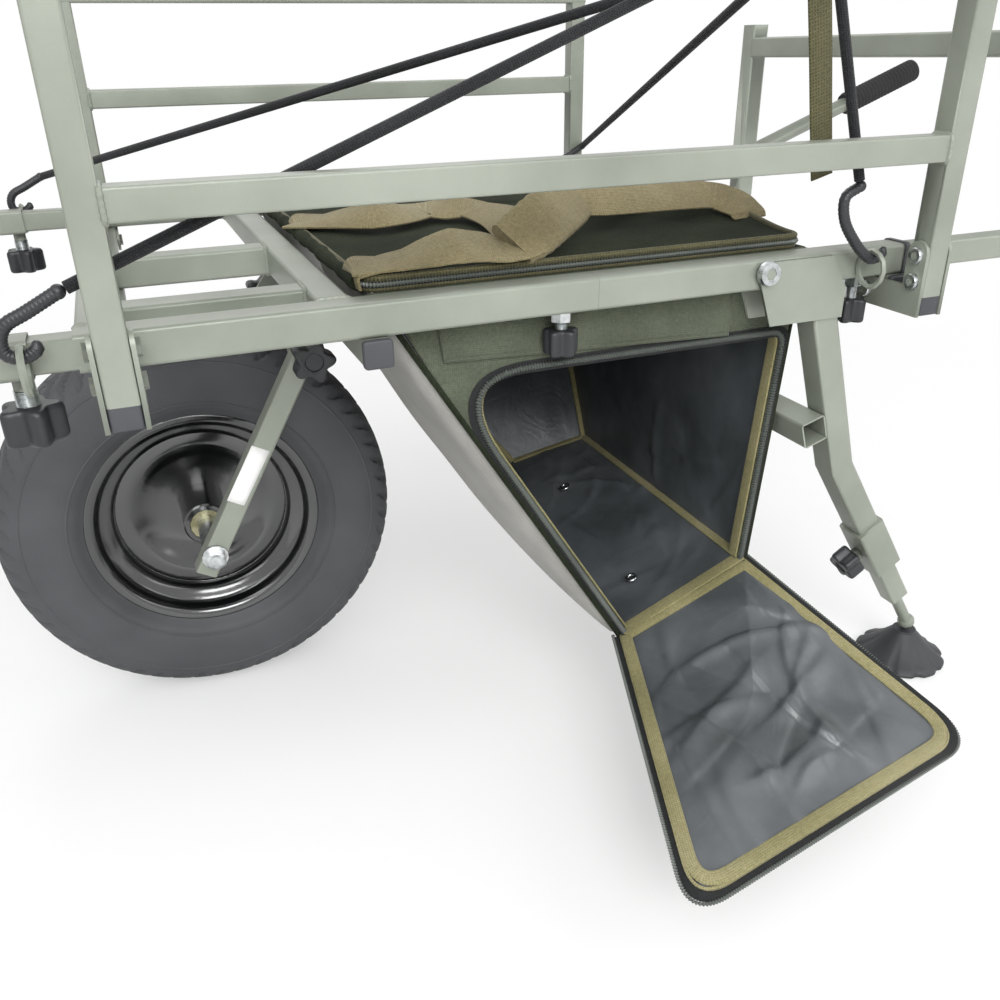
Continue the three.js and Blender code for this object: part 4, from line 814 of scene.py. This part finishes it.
def make_cord(name, ring_x, side, shares, end):
    """A stretched elastic cord on the straight line from its hook's knot to the near panel's top rail. The hook is a
    round bar bent through the lashing ring, with ribs about 3 mm apart.
    Returns the path of the loop that ties the cord to the top rail."""
    bend = np.array([(ring_x + x * RING_RADIUS, side * RING_Y, RING_Z + z * RING_RADIUS) for x, z in shares])
    hook_path = smooth_path(bend, 90)
    ribs = 1 + 0.05 * np.sin(np.arange(90) * 2.1)
    ribs[-6:] *= np.sqrt(np.linspace(1, 0.15, 6))
    ball = np.linspace(0, np.pi, 12)
    knot = lathe(np.column_stack([KNOT_RADIUS * np.sin(ball), -KNOT_RADIUS * np.cos(ball)]), bend[0], (0, 1, 0),
                 BLACK_PLASTIC, 24)
    bar = sweep(hook_path, circle(HOOK_BAR_RADIUS, 14), BLACK_PLASTIC, up=(0, 1, 0), swell=ribs)
    hook = make_piece(f"ribbed_hook_{name}", [bar, knot])
    settle(hook, body_of_node["cord_hook_" + name], "black_plastic", "cord_hook_" + name)
    top = np.array([end[0], -316.2, end[1]])
    start = bend[0] + unit(top - bend[0]) * (KNOT_RADIUS + 0.3)
    line = spaced([start, top], 30)
    cord = make_piece(f"elastic_cord_{name}", [sweep(line, circle(CORD_RADIUS, 16), ELASTIC)], sharp_degrees=50)
    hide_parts("cord_" + name)
    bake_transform(cord)
    return smooth_path([(end[0], -PANEL_Y - 13.6, 678), (end[0], -PANEL_Y - 9, 689.6),
                        (end[0], -PANEL_Y + 9, 689.6), (end[0] + 1, -PANEL_Y + 13.8, 678),
                        (end[0], -PANEL_Y + 9, 666.4), (end[0], -PANEL_Y - 9, 666.4)], 60, closed=True)


ties = [make_cord(name, *facts) for name, facts in CORDS.items()]
tie_loops = make_piece("cord_ties", [sweep(tie + [9, 0, 0], circle(2.6, 10), ELASTIC, closed=True, up=(1, 0, 0))
                                     for tie in ties])
settle(tie_loops, "near_panel", "cord_elastic")

lash_line = smooth_path([(438, -319.2, 687), (440, -319.2, 678), (444, -319.2, 668), (458, -314.5, 617),
                         (472, -308.6, 566), (484, -304, 522)], 60)
lash = make_piece("lashing_strap", [sweep(lash_line, rounded(20, 1.9, 0.9, 3), OLIVE_WEBBING, up=(0, 1, 0))])
settle(lash, "near_panel", "olive_webbing", "lash_strap")


# Bag: flat panels of cloth between the corners of the hopper, each bulged and creased, with sewn edges

BAG_INWARD = np.array([(1, 1), (1, -1), (-1, -1), (-1, 1)])  # in X and Y, at NL, FL, FR, NR
BAG_TOP = np.array([(130, -270, 461.5), (130, 270, 461.5), (505, 270, 461.5), (505, -270, 461.5)], float)
BAG_BOTTOM = np.array([(344.8, -270, 110.7), (380, 95, 135), (492, 95, 153), (480, -270, 163.8)], float)
NL, FL, FR, NR = range(4)
LINING_INSET = 4.0
ARCH_TOP = 391.0
CANVAS_MM, LINING_MM = 1.2, 0.5
MOUTH_Y = {"canvas": -270.0, "lining": -267.2}
MOUTH_POINTS, MOUTH_RINGS, EDGE_POINTS = 220, 14, 1200


def bag_corners(inset):
    """The hopper's eight corners, moved inwards by the inset."""
    top, bottom = BAG_TOP.copy(), BAG_BOTTOM.copy()
    top[:, :2] += BAG_INWARD * inset
    bottom[:, :2] += BAG_INWARD * inset
    bottom[:, 2] += inset
    top[:, 2] -= inset / 2
    return top, bottom


def panel(corners, rows, columns, relief, material):
    """A bilinear patch over four corners (top start, top end, bottom end, bottom start), moved along its normal by
    relief times a fade that is zero at its edges: fade = (sin(pi u) * sin(pi v)) ** 0.35. UV is in metres."""
    a, b, c, d = (np.asarray(corner, float) for corner in corners)
    v, u = np.meshgrid(np.linspace(0, 1, rows), np.linspace(0, 1, columns), indexing="ij")
    points = ((1 - v)[..., None] * ((1 - u)[..., None] * a + u[..., None] * b)
              + v[..., None] * ((1 - u)[..., None] * d + u[..., None] * c))
    normal = unit(np.cross(b + c - a - d, c + d - a - b))
    fade = np.clip(np.sin(np.pi * u) * np.sin(np.pi * v), 0, 1) ** 0.35
    points = points + (relief(points) * fade)[..., None] * normal
    width = np.linalg.norm(b + c - a - d) / 2
    height = np.linalg.norm(c + d - a - b) / 2
    uv = np.stack([u * width * MM, v * height * MM], axis=-1)
    return Shell(points, grid_faces(rows, columns), uv, material)


def edge_at(start, end, height):
    """The point of a sloping edge at a height."""
    start, end = np.asarray(start, float), np.asarray(end, float)
    return start + (end - start) * (height - start[2]) / (end[2] - start[2])


def arch_path(count, inset, y, foot=3.0):
    """The mouth's edge from its lower left foot over the arch to its lower right foot. Its corners are quadratic
    curves, 85 by 75 mm at the left and 14 mm at the right."""
    step = np.array([inset, 0, 0])
    top_left = edge_at(BAG_TOP[NL], BAG_BOTTOM[NL], ARCH_TOP) + step
    top_right = edge_at(BAG_TOP[NR], BAG_BOTTOM[NR], ARCH_TOP) - step
    low_left, low_right = BAG_BOTTOM[NL] + step + [0, 0, foot], BAG_BOTTOM[NR] - step + [0, 0, foot]
    line = np.concatenate([[low_left], corner_bend(top_left, low_left, top_right, 85, 75, 12),
                           corner_bend(top_right, top_left, low_right, 14, 14, 12), [low_right]])
    line[:, 1] = y
    return spaced(line, count)


def mouth_panel(inset, material, y):
    """The near wall round the mouth, one strip with two feet: straight lines from the arch out to the near point of
    the wall's edge, where 1% of difference in the share of the way round counts as 9 mm."""
    inner = arch_path(MOUTH_POINTS, 8.0, y)
    top, bottom = bag_corners(inset)
    outer = spaced(np.array([bottom[NL], top[NL], top[NR], bottom[NR]]), EDGE_POINTS)
    outer[:, 1] = y
    off_share = np.abs(np.linspace(0, 1, EDGE_POINTS)[None] - np.linspace(0, 1, MOUTH_POINTS)[:, None])
    reach = np.linalg.norm(outer[None, :, ::2] - inner[:, None, ::2], axis=2) + 900 * off_share
    matched = outer[np.maximum.accumulate(reach.argmin(axis=1))]
    matched[0], matched[-1] = outer[0], outer[-1]
    across = np.linspace(0, 1, MOUTH_RINGS)[:, None, None]
    points = inner[None] * (1 - across) + matched[None] * across
    points[..., 1] += 0.5 * wave_sum(points, [(120, 1.0), (60, 0.5)], 5) * np.sin(np.pi * across[..., 0])
    return Shell(points, grid_faces(MOUTH_RINGS, MOUTH_POINTS), points[..., [0, 2]] * MM, material)


def thicken(piece, thickness):
    """Gives a sheet its cloth's thickness, half to either side."""
    cloth = piece.modifiers.new("cloth thickness", "SOLIDIFY")
    cloth.thickness = thickness * MM
    cloth.offset = 0.0


def crumple(*pieces):
    """Gives each soft piece its own copy of its mesh."""
    for piece in pieces:
        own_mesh(piece)


def bag_panels(inset, count, reliefs, materials):
    """Left, far and right walls and the floor, in that order, from their corners."""
    top, bottom = bag_corners(inset)
    walls = [(top[NL], top[FL], bottom[FL], bottom[NL]), (top[FL], top[FR], bottom[FR], bottom[FL]),
             (top[FR], top[NR], bottom[NR], bottom[FR]), (bottom[FL], bottom[FR], bottom[NR], bottom[NL])]
    return [panel(wall, count, count, relief, material) for wall, relief, material in zip(walls, reliefs, materials)]


def belly(points, height):
    """The left wall's bulge, with a hollow in the middle that the wheel swings into:
    h * (1 - exp(-(y / 110) ** 4))."""
    return height * (1 - np.exp(-(points[..., 1] / 110) ** 4))


def sag(seed, height):
    """The relief of a canvas panel: two slow waves, the shorter one 0.35 as high."""
    return lambda points: wave_sum(points, [(260, height), (95, height * 0.35)], seed)


def puckered(seed, height):
    """The relief of a lining panel, whose normal is found from its own corners. It folds inwards only."""
    def relief(points):
        normal = unit(np.cross(points[-1, 0] - points[0, 0], points[0, -1] - points[0, 0]))
        folds = wrinkle_sum(points, normal, height, seed) + wave_sum(points, [(180, height * 0.4)], seed + 40)
        return -softly_above(folds, 0.0)
    return relief


shell_reliefs = [lambda p: belly(p, 36) + sag(21, 2.0)(p), sag(22, 2.0), sag(23, 2.0), sag(24, 1.2)]
shell_panels = bag_panels(0.0, 64, shell_reliefs, [COATED_CLOTH, BAG_CANVAS, BAG_CANVAS, BAG_CANVAS])
bag_shell = make_piece("bag_shell", shell_panels + [mouth_panel(0.0, BAG_CANVAS, MOUTH_Y["canvas"])])
thicken(bag_shell, CANVAS_MM)
lining_reliefs = [lambda p: belly(p, 30) + puckered(31, 5.0)(p), puckered(32, 5.0), puckered(33, 5.5),
                  puckered(34, 4.5)]
lining_panels = bag_panels(LINING_INSET, 84, lining_reliefs, [LINING] * 4)
bag_lining = make_piece("bag_lining", lining_panels + [mouth_panel(LINING_INSET, LINING, MOUTH_Y["lining"])])
thicken(bag_lining, LINING_MM)
settle(bag_shell, "deck", "olive_canvas", "bag_body")
settle(bag_lining, "deck", "olive_canvas")


ZIP_PITCH = 2.4


def closed_line(line):
    """A line that ends at its first point again."""
    return np.vstack([line, line[:1]])


def ribbon(line, width, thickness, material, up):
    """A flat tape carried along a line, its width square to the line and to up, which may differ at each point."""
    return sweep(line, rounded(width, thickness, thickness * 0.45, 3), material, up=up)


def zip_coil(line, radius, up):
    """The teeth of a zip: a round cord that swells and thins once in each pitch: radius * (1 + 0.35 * cos)."""
    count = int(lengths_along(line)[-1] / ZIP_PITCH * 4)
    return sweep(spaced(line, count), circle(radius, 6), ZIP_NYLON, up=up,
                 swell=1 + 0.35 * np.cos(np.arange(count) * np.pi / 2))


def edge_line(start, end):
    """A straight line of 60 points."""
    return spaced(np.array([start, end]), 60)


lined_top, lined_bottom = bag_corners(LINING_INSET + 1.5)
hem_line = [(x, y, 458.2) for x, y in ((128.5, -269.5), (128.5, 271), (506, 271), (506, -269.5), (128.5, -269.5))]
hem = sweep(spaced(hem_line, 401)[:-1], rounded(3.4, 6, 1.2), BAG_CANVAS, closed=True)
valance = panel([(173, -271.2, 459), (434, -271.2, 459), (434, -273.4, 394), (180, -273.4, 404)], 24, 90,
                lambda points: 0.5 * wave_sum(points, [(80, 1.0)], 51), BAG_CANVAS)
valance_piece = make_piece("bag_valance", [valance])
thicken(valance_piece, 1.0)
valance_stitch = sweep(spaced([(181, -273.7, 407.5), (433, -273.7, 397.5)], 160), circle(0.5, 5), BAG_CANVAS,
                       up=(0, 1, 0), swell=0.7 + 0.5 * (np.arange(160) % 2))
trim = make_piece("bag_hem", [hem, valance_stitch])

mouth_line = arch_path(300, 9.5, -264.0, foot=4.0)
hinge_line = edge_line(BAG_BOTTOM[NL] + [3, 1.5, 3.5], BAG_BOTTOM[NR] + [-3, 1.5, 3.5])
FLOOR_UP = unit(np.cross(BAG_BOTTOM[NR] - BAG_BOTTOM[NL], BAG_BOTTOM[FL] - BAG_BOTTOM[NL]))

# Bindings over the lining's seams: each one's line, its profile's width, height and corners, and its up direction
bindings = [sweep(line, rounded(*profile), BINDING, up=up) for line, profile, up in (
    (mouth_line, (2.0, 12, 0.8), (0, 1, 0)),
    (edge_line(lined_top[FR], lined_bottom[FR]), (9, 5, 2), (0, 1, 0)),
    (edge_line(lined_bottom[FR], lined_bottom[NR]), (11, 3.4, 1.4), FLOOR_UP),
    (edge_line(lined_bottom[FL], lined_bottom[FR]), (9, 3.4, 1.4), FLOOR_UP),
    (edge_line(lined_top[FL], lined_bottom[FL]), (7, 4, 1.6), (0, 1, 0)),
    (hinge_line, (13, 2.6, 1.1), FLOOR_UP),
)]
binding_piece = make_piece("bag_seam_bindings", bindings)

# Piping outside the shell's seams: each one's ends, how far it stands out, how far it starts below the top, radius
piping = [sweep(edge_line(start + out - [0, 0, below], end + out), circle(radius, 10), LID_CANVAS)
          for start, end, out, below, radius in (
              (BAG_TOP[NL], BAG_BOTTOM[NL], (-0.5, -0.5, 0), 4, 2.3),
              (BAG_TOP[FL], BAG_BOTTOM[FL], (-0.5, 0.5, 0), 4, 2.3),
              (BAG_BOTTOM[NL], BAG_BOTTOM[FL], (-0.5, 0, -0.5), 0, 2.3),
              (BAG_TOP[NR], BAG_BOTTOM[NR], (0.5, 0, 0), 6, 2.0),
              (BAG_TOP[FR], BAG_BOTTOM[FR], (0.5, 0.5, 0), 6, 2.0),
              (BAG_BOTTOM[NR], BAG_BOTTOM[FR], (0.5, 0, -0.5), 0, 2.0))]
piping_piece = make_piece("bag_edge_piping", piping)

zip_tape = arch_path(300, 2.5, -271.1, foot=1.0)
zip_teeth = arch_path(300, 6.0, -272.0, foot=1.0)
bag_zip = make_piece("bag_mouth_zip", [sweep(zip_tape, rounded(10, 0.9, 0.4, 3), ZIP_TAPE, up=(0, 1, 0)),
                                       zip_coil(zip_teeth, 2.3, (0, 1, 0))])


def eyelet(x, y):
    """A pressed ring of 6 mm outer radius on the floor's plane at X and Y, with a black disc in its hole that is
    painted shade.
    """
    base = BAG_BOTTOM[NL] + [0, 0, LINING_INSET]
    height = base[2] - ((x - base[0]) * FLOOR_UP[0] + (y - base[1]) * FLOOR_UP[1]) / FLOOR_UP[2]
    # The black disc inside the ring is painted shade in the hole, not a part of the eyelet.
    place, disc = (x, y, height), [(0, 3.0), (3.2, 3.0), (3.2, 5.2), (0, 5.2)]
    return [lathe(oval(1.7, 1.2, 12, (4.3, 5.5)), place, FLOOR_UP, ZINC, 32, True),
            lathe(disc, place, FLOOR_UP, BLACK_PLASTIC, 24)]


eyelets = make_piece("bag_floor_eyelets", eyelet(405.6, -25.2) + eyelet(386.6, -219.0))
for piece, finish in ((valance_piece, "olive_canvas"), (trim, "olive_canvas"), (binding_piece, "olive_canvas"),
                      (piping_piece, "olive_canvas"), (bag_zip, "olive_canvas"), (eyelets, "zinc_plate")):
    settle(piece, "deck", finish)
crumple(bag_shell, bag_lining, valance_piece, trim, binding_piece, piping_piece, bag_zip, eyelets)


# Flap: a thin lined pad that hangs open from the mouth's lower edge

FLAP_ROOT = np.array([(344.8, -270.9, 110.7), (480.0, -270.9, 163.8)])
FLAP_OUTER = np.array([(257.0, -539.0, 81.0), (561.0, -483.0, 83.0)])
FLAP_CORNER = 34.0
FLAP_THICKNESS = 4.0
FLAP_POINTS, FLAP_RINGS = 260, 92
FIRST_RING = 0.004
FLAP_MIDDLE = (FLAP_ROOT.mean(axis=0) + FLAP_OUTER.mean(axis=0)) / 2
FLAP_UP = unit(np.cross(FLAP_OUTER.mean(axis=0) - FLAP_ROOT.mean(axis=0), FLAP_ROOT[1] - FLAP_ROOT[0]))


def flap_outline(inset, count, open_root=False):
    """Round the flap from its left root over the two rounded outer corners to the right root, moved inwards by
    inset. Corners are quadratic curves. Closed across the root unless open_root."""
    corners = [FLAP_ROOT[0], FLAP_OUTER[0], FLAP_OUTER[1], FLAP_ROOT[1]]
    moved = []
    for i, corner in enumerate(corners):
        before = unit(corners[i - 1] - corner)
        after = unit(corners[(i + 1) % 4] - corner)
        sharpness = math.sqrt(1 - float(before @ after) ** 2)
        moved.append(corner + (before + after) * inset / sharpness)
    reach = FLAP_CORNER - inset / 2
    bends = [corner_bend(moved[i], moved[i - 1], moved[(i + 1) % 4], reach, reach, 14) for i in (1, 2)]
    line = np.concatenate([[moved[0]], *bends, [moved[3]]] + ([] if open_root else [[moved[0]]]))
    return spaced(line, count) if open_root else spaced(line, count + 1)[:-1]


def flap_face(height, relief, material):
    """Rings from the flap's middle out to its outline, at a height above its plane, plus a relief that fades to
    nothing at the outline: fade = (1 - s ** 5)."""
    outline = flap_outline(0.0, FLAP_POINTS)
    share = np.linspace(FIRST_RING, 1, FLAP_RINGS)
    points = FLAP_MIDDLE + share[:, None, None] * (outline - FLAP_MIDDLE)
    lift = height + relief(points) * (1 - share ** 5)[:, None]
    points = points + lift[..., None] * FLAP_UP
    along = unit(FLAP_ROOT[1] - FLAP_ROOT[0])
    across = np.cross(FLAP_UP, along)
    uv = np.stack([(points - FLAP_MIDDLE) @ along, (points - FLAP_MIDDLE) @ across], axis=-1) * MM
    return Shell(points, grid_faces(FLAP_RINGS, FLAP_POINTS, False, True), uv, material, [range(FLAP_POINTS)])


def flap_side():
    """The thin wall between the flap's two faces."""
    outline = flap_outline(0.0, FLAP_POINTS)
    points = np.stack([outline, outline - FLAP_UP * FLAP_THICKNESS])
    return Shell(points, grid_faces(2, FLAP_POINTS, False, True), np.zeros((2 * FLAP_POINTS, 2)), BAG_CANVAS)


flap_pad = make_piece("flap_pad", [
    flap_face(0.0, lambda p: softly_above(1.8 + wrinkle_sum(p, FLAP_UP, 6.0, 64), -0.5), LINING),
    flap_face(-FLAP_THICKNESS, lambda p: -0.8 + wave_sum(p, [(140, 0.9)], 62), BAG_CANVAS), flap_side()])
settle(flap_pad, "flap", "olive_canvas", "bag_flap")
flap_trim = make_piece("flap_binding", [
    ribbon(closed_line(flap_outline(5.6, 320)) + FLAP_UP * 1.6, 11, 3.2, BINDING, FLAP_UP),
    sweep(flap_outline(0.6, 320, True) + FLAP_UP * -1.2, rounded(2.4, 6.2, 1.0, 3), BINDING, up=FLAP_UP),
])
settle(flap_trim, "flap", "olive_canvas")
flap_zip = make_piece("flap_zip", [
    ribbon(flap_outline(-1.6, 320, True) - FLAP_UP * 1.6, 11, 1.0, ZIP_TAPE, FLAP_UP),
    zip_coil(flap_outline(-6.4, 700, True) - FLAP_UP * 1.6, 1.4, FLAP_UP),
])
settle(flap_zip, "flap", "olive_canvas")
crumple(flap_pad, flap_trim, flap_zip)


# Lid: a stiffened canvas panel with a piped edge and a zip round its side, and the two carry straps on it

LID_X, LID_HALF, LID_Z = (124.0, 499.0), 271.5, (462.2, 471.0)
LID_POINTS = 300


def ease(value):
    """Runs smoothly from 0 to 1 as the value does: 3 v ** 2 - 2 v ** 3."""
    value = np.clip(value, 0, 1)
    return value * value * (3 - 2 * value)


def lid_lift(points):
    """How far the straps pull the lid up towards the middle of its rear edge: at most 12 mm."""
    across = ease((points[..., 1] + 262) / 110) * ease((250 - points[..., 1]) / 150)
    return 12 * ease((points[..., 0] - 370) / 120) * across


def lid_outline(inset, z, count=LID_POINTS):
    """A rectangle with 12 mm corners, moved inwards by inset, at one height."""
    outline = rounded(LID_X[1] - LID_X[0] - 2 * inset, 2 * (LID_HALF - inset), 12 - inset / 2, 8)
    ring = np.column_stack([outline + [sum(LID_X) / 2, 0], np.full(len(outline), z)])
    ring = spaced(closed_line(ring), count + 1)[:-1]
    ring[:, 2] += lid_lift(ring)
    return ring


def make_lid():
    """Rings from the middle out over the top, down the side and back under. The top is crowned by
    4 mm * (1 - s ** 2), with slow waves times (1 - s ** 8), so that they end at the piping."""
    rim = lid_outline(0.0, LID_Z[1])
    middle = np.array([sum(LID_X) / 2, 0, LID_Z[1]])
    share = np.linspace(FIRST_RING, 1, 60)
    top = middle + share[:, None, None] * (rim - middle)
    waves = wave_sum(top, [(210, 3.0), (90, 1.1)], 71)
    top[..., 2] += 4.0 * (1 - share ** 2)[:, None] + waves * (1 - share ** 8)[:, None]
    side = np.stack([lid_outline(0.0, z) for z in np.linspace(LID_Z[1], LID_Z[0], 5)[1:]])
    points = np.concatenate([top, side])
    uv = np.stack([points[..., 0], points[..., 1] + points[..., 2] - LID_Z[1]], axis=-1) * MM
    rows = len(points)
    return Shell(points, grid_faces(rows, LID_POINTS, False, True), uv, LID_CANVAS, end_faces(rows, LID_POINTS))


lid = make_piece("lid_panel", [make_lid()])
settle(lid, "lid", "lid_canvas", "bag_lid")
lid_trim = make_piece("lid_piping", [
    sweep(lid_outline(0.6, 471.2, 500), circle(2.6, 10), OLIVE_WEBBING, closed=True),
    sweep(lid_outline(0.2, 463.2, 500), circle(1.5, 8), OLIVE_WEBBING, closed=True),
    zip_coil(closed_line(lid_outline(-0.6, 467.0, 700)), 1.7, (0, 0, 1)),
    sweep(lid_outline(0.1, 467.0, 400), rounded(0.8, 6.4, 0.3, 3), ZIP_TAPE, closed=True),
])
settle(lid_trim, "lid", "lid_canvas")

STRAP_WIDTH, STRAP_THICKNESS = 38, 2.0
# Each strap's middle line in X, Y and Z, and how far it is rolled on to its edge there, in degrees
STRAP_LINES = {
    "near": [(120, -252, 474.5, 0), (142, -256, 478, 6), (160, -258, 480, 10), (178, -260, 484, 22),
             (196, -262, 487, 30), (216, -262, 485, 24), (238, -264, 482, 16), (258, -258, 490, 42),
             (284, -236, 497, 50), (325, -192, 503, 50), (360, -190, 501, 40), (410, -182, 498, 34),
             (466, -168, 494, 32), (486, -176, 490, 26), (495, -194, 483, 12), (497, -203, 476, 0)],
    "far": [(120, -34, 474.5, 0), (150, -62, 481, 16), (180, -90, 487, 32), (208, -84, 486, 22),
            (234, -64, 483, 8), (256, -78, 486, 26), (276, -92, 484, 10), (282, -134, 484, 18),
            (273, -188, 485, 24), (264, -230, 490, 40), (284, -232, 500, 50), (328, -186, 505, 50),
            (380, -140, 499, 38), (440, -96, 492, 18), (482, -74, 487, 5), (496, -70, 483, 0)],
}


def strap_frame(line, count):
    """A strap's path and the direction that its face looks in: straight up turned about the path by its roll."""
    rows = np.asarray(line, float)
    path = smooth_path(rows[:, :3], count)
    at = lengths_along(rows[:, :3])
    _, side, face = path_frames(path)
    roll = np.radians(np.interp(np.linspace(0, at[-1], count), at, rows[:, 3]))[:, None]
    return path, face * np.cos(roll) + side * np.sin(roll)


for side_name, line in STRAP_LINES.items():
    strap_path, strap_face = strap_frame(line, 220)
    strap = make_piece(f"carry_webbing_{side_name}", [
        ribbon(strap_path, STRAP_WIDTH, STRAP_THICKNESS, WEBBING, strap_face)])
    start = np.array(line[0][:3])
    patch_line = smooth_path(start + [(1.4, 0, -10.5), (0.4, 0, -3), (3, 0, 1.6), (30, -4, 3.4)], 30)
    patch_turn = np.linspace(np.pi / 2, 0, 30)[:, None]
    patch_face = np.cos(patch_turn) * [0, 0, 1] + np.sin(patch_turn) * [-1.0, 0, 0]
    strap_patch = make_piece(f"strap_patch_{side_name}", [ribbon(patch_line, 41, 2.2, WEBBING, patch_face)])
    settle(strap, "lid", "strap_webbing", "carry_strap_" + side_name)
    settle(strap_patch, "lid", "strap_webbing")
wrap_rows = [(240, -262, 484, 36), (258, -254, 490, 42), (284, -234, 497.5, 50), (328, -189, 504, 50)]
wrap_path, wrap_face = strap_frame(wrap_rows, 40)
wrap = make_piece("carry_handle_wrap", [
    sweep(wrap_path, rounded(45, 11, 5, 5), WEBBING, up=wrap_face,
          swell=1 - 0.10 * np.abs(np.linspace(-1, 1, 40)) ** 6 + 0.02 * np.sin(np.arange(40) * 1.7))])
settle(wrap, "lid", "strap_webbing")
roll_path = spaced([(122, -262, 467.5), (121, -100, 468.5), (122, 262, 467.5)], 120)
roll_swell = 1 + 0.10 * np.sin(np.arange(120) * 0.33) + 0.06 * np.sin(np.arange(120) * 0.81)
rolled_edge = make_piece("lid_rolled_edge", [sweep(roll_path, circle(5.6, 18), LID_CANVAS, swell=roll_swell)])
settle(rolled_edge, "lid", "lid_canvas")


# A bare white label on the near fork arm
LABEL_CORNERS = [(47.5, -110.3, 297.2), (62.5, -110.3, 289.0), (33.0, -110.3, 239.4), (18.5, -110.3, 247.6)]
label = panel(LABEL_CORNERS, 6, 4, lambda points: 0 * points[..., 0], LABEL_VINYL)
label_piece = make_piece("blank_label", [label])
thicken(label_piece, 0.2)
settle(label_piece, "fork", "green_powder_coat")


# Floor, soft studio light and a white background

FLOOR_Z = -ORIGIN[2] * MM
FLOOR_HALF = 6.0
FLOOR_GAP = 0.0005


def make_floor():
    """A plain pale floor under the tyre and feet, 12 m across. Away from the object it turns plain white to the
    camera, so that it has no edge, while it keeps the shadow near the object."""
    mesh = bpy.data.meshes.new("floor")
    corners = [(x * FLOOR_HALF, y * FLOOR_HALF, FLOOR_Z - FLOOR_GAP) for x, y in ((-1, -1), (1, -1), (1, 1), (-1, 1))]
    mesh.from_pydata(corners, [], [(0, 1, 2, 3)])
    paper, tree, surface, place = new_material("white paper backdrop", "#F2F2F2", Roughness=0.9)
    ray = add_node(tree, "ShaderNodeLightPath")
    away = add_node(tree, "ShaderNodeVectorMath", {0: place["Object"]}, operation="LENGTH")
    far = add_node(tree, "ShaderNodeMapRange", {"Value": away.outputs["Value"], "From Min": 0.5, "From Max": 2.2,
                                                "To Min": 0.35, "To Max": 1.0})
    share = add_node(tree, "ShaderNodeMath", {0: far.outputs["Result"], 1: ray.outputs["Is Camera Ray"]},
                     operation="MULTIPLY")
    glow = add_node(tree, "ShaderNodeEmission", {"Color": linear("#FFFFFF"), "Strength": 1.0})
    mixed = add_node(tree, "ShaderNodeMixShader", {0: share.outputs[0]})
    tree.links.new(surface.outputs[0], mixed.inputs[1])
    tree.links.new(glow.outputs[0], mixed.inputs[2])
    tree.links.new(mixed.outputs[0], tree.nodes["Material Output"].inputs["Surface"])
    mesh.materials.append(paper)
    return link_object("floor", mesh)


def soft_light(name, place, target, size, watts):
    """A square area light that faces a target, both in metres."""
    lamp = bpy.data.lights.new(name, "AREA")
    lamp.energy = watts
    lamp.size = size
    light = link_object(name, lamp)
    light.location = place
    light.rotation_euler = (Vector(target) - Vector(place)).to_track_quat("-Z", "Y").to_euler()


def white_world(level):
    """A white background to the eye, to mirrors and through glass, and a plain soft light from all round."""
    world = bpy.data.worlds.new("studio")
    world.use_nodes = True
    bpy.context.scene.world = world
    tree = world.node_tree
    tree.nodes.clear()
    ray = add_node(tree, "ShaderNodeLightPath")
    seen = add_node(tree, "ShaderNodeMath", {0: ray.outputs["Is Camera Ray"], 1: ray.outputs["Is Glossy Ray"]},
                    operation="MAXIMUM")
    seen = add_node(tree, "ShaderNodeMath", {0: seen.outputs[0], 1: ray.outputs["Is Transmission Ray"]},
                    operation="MAXIMUM")
    ambient = add_node(tree, "ShaderNodeBackground", {"Color": linear("#FFFFFF"), "Strength": level})
    white = add_node(tree, "ShaderNodeBackground", {"Color": linear("#FFFFFF"), "Strength": 1.0})
    mixed = add_node(tree, "ShaderNodeMixShader", {0: seen.outputs[0]})
    tree.links.new(ambient.outputs[0], mixed.inputs[1])
    tree.links.new(white.outputs[0], mixed.inputs[2])
    add_node(tree, "ShaderNodeOutputWorld", {"Surface": mixed.outputs[0]})


make_floor()
MIDDLE = (0.1, 0.0, -0.1)
soft_light("key", (-1.6, -2.2, 2.6), MIDDLE, 2.4, 50)
soft_light("front", (-0.1, -2.4, 1.15), (0.25, -0.1, -0.25), 1.1, 38)
soft_light("fill", (2.6, -1.8, 1.6), MIDDLE, 2.4, 30)
soft_light("back", (0.4, 2.6, 2.4), MIDDLE, 2.0, 25)
white_world(0.62)
bpy.context.scene.view_settings.view_transform = "Standard"
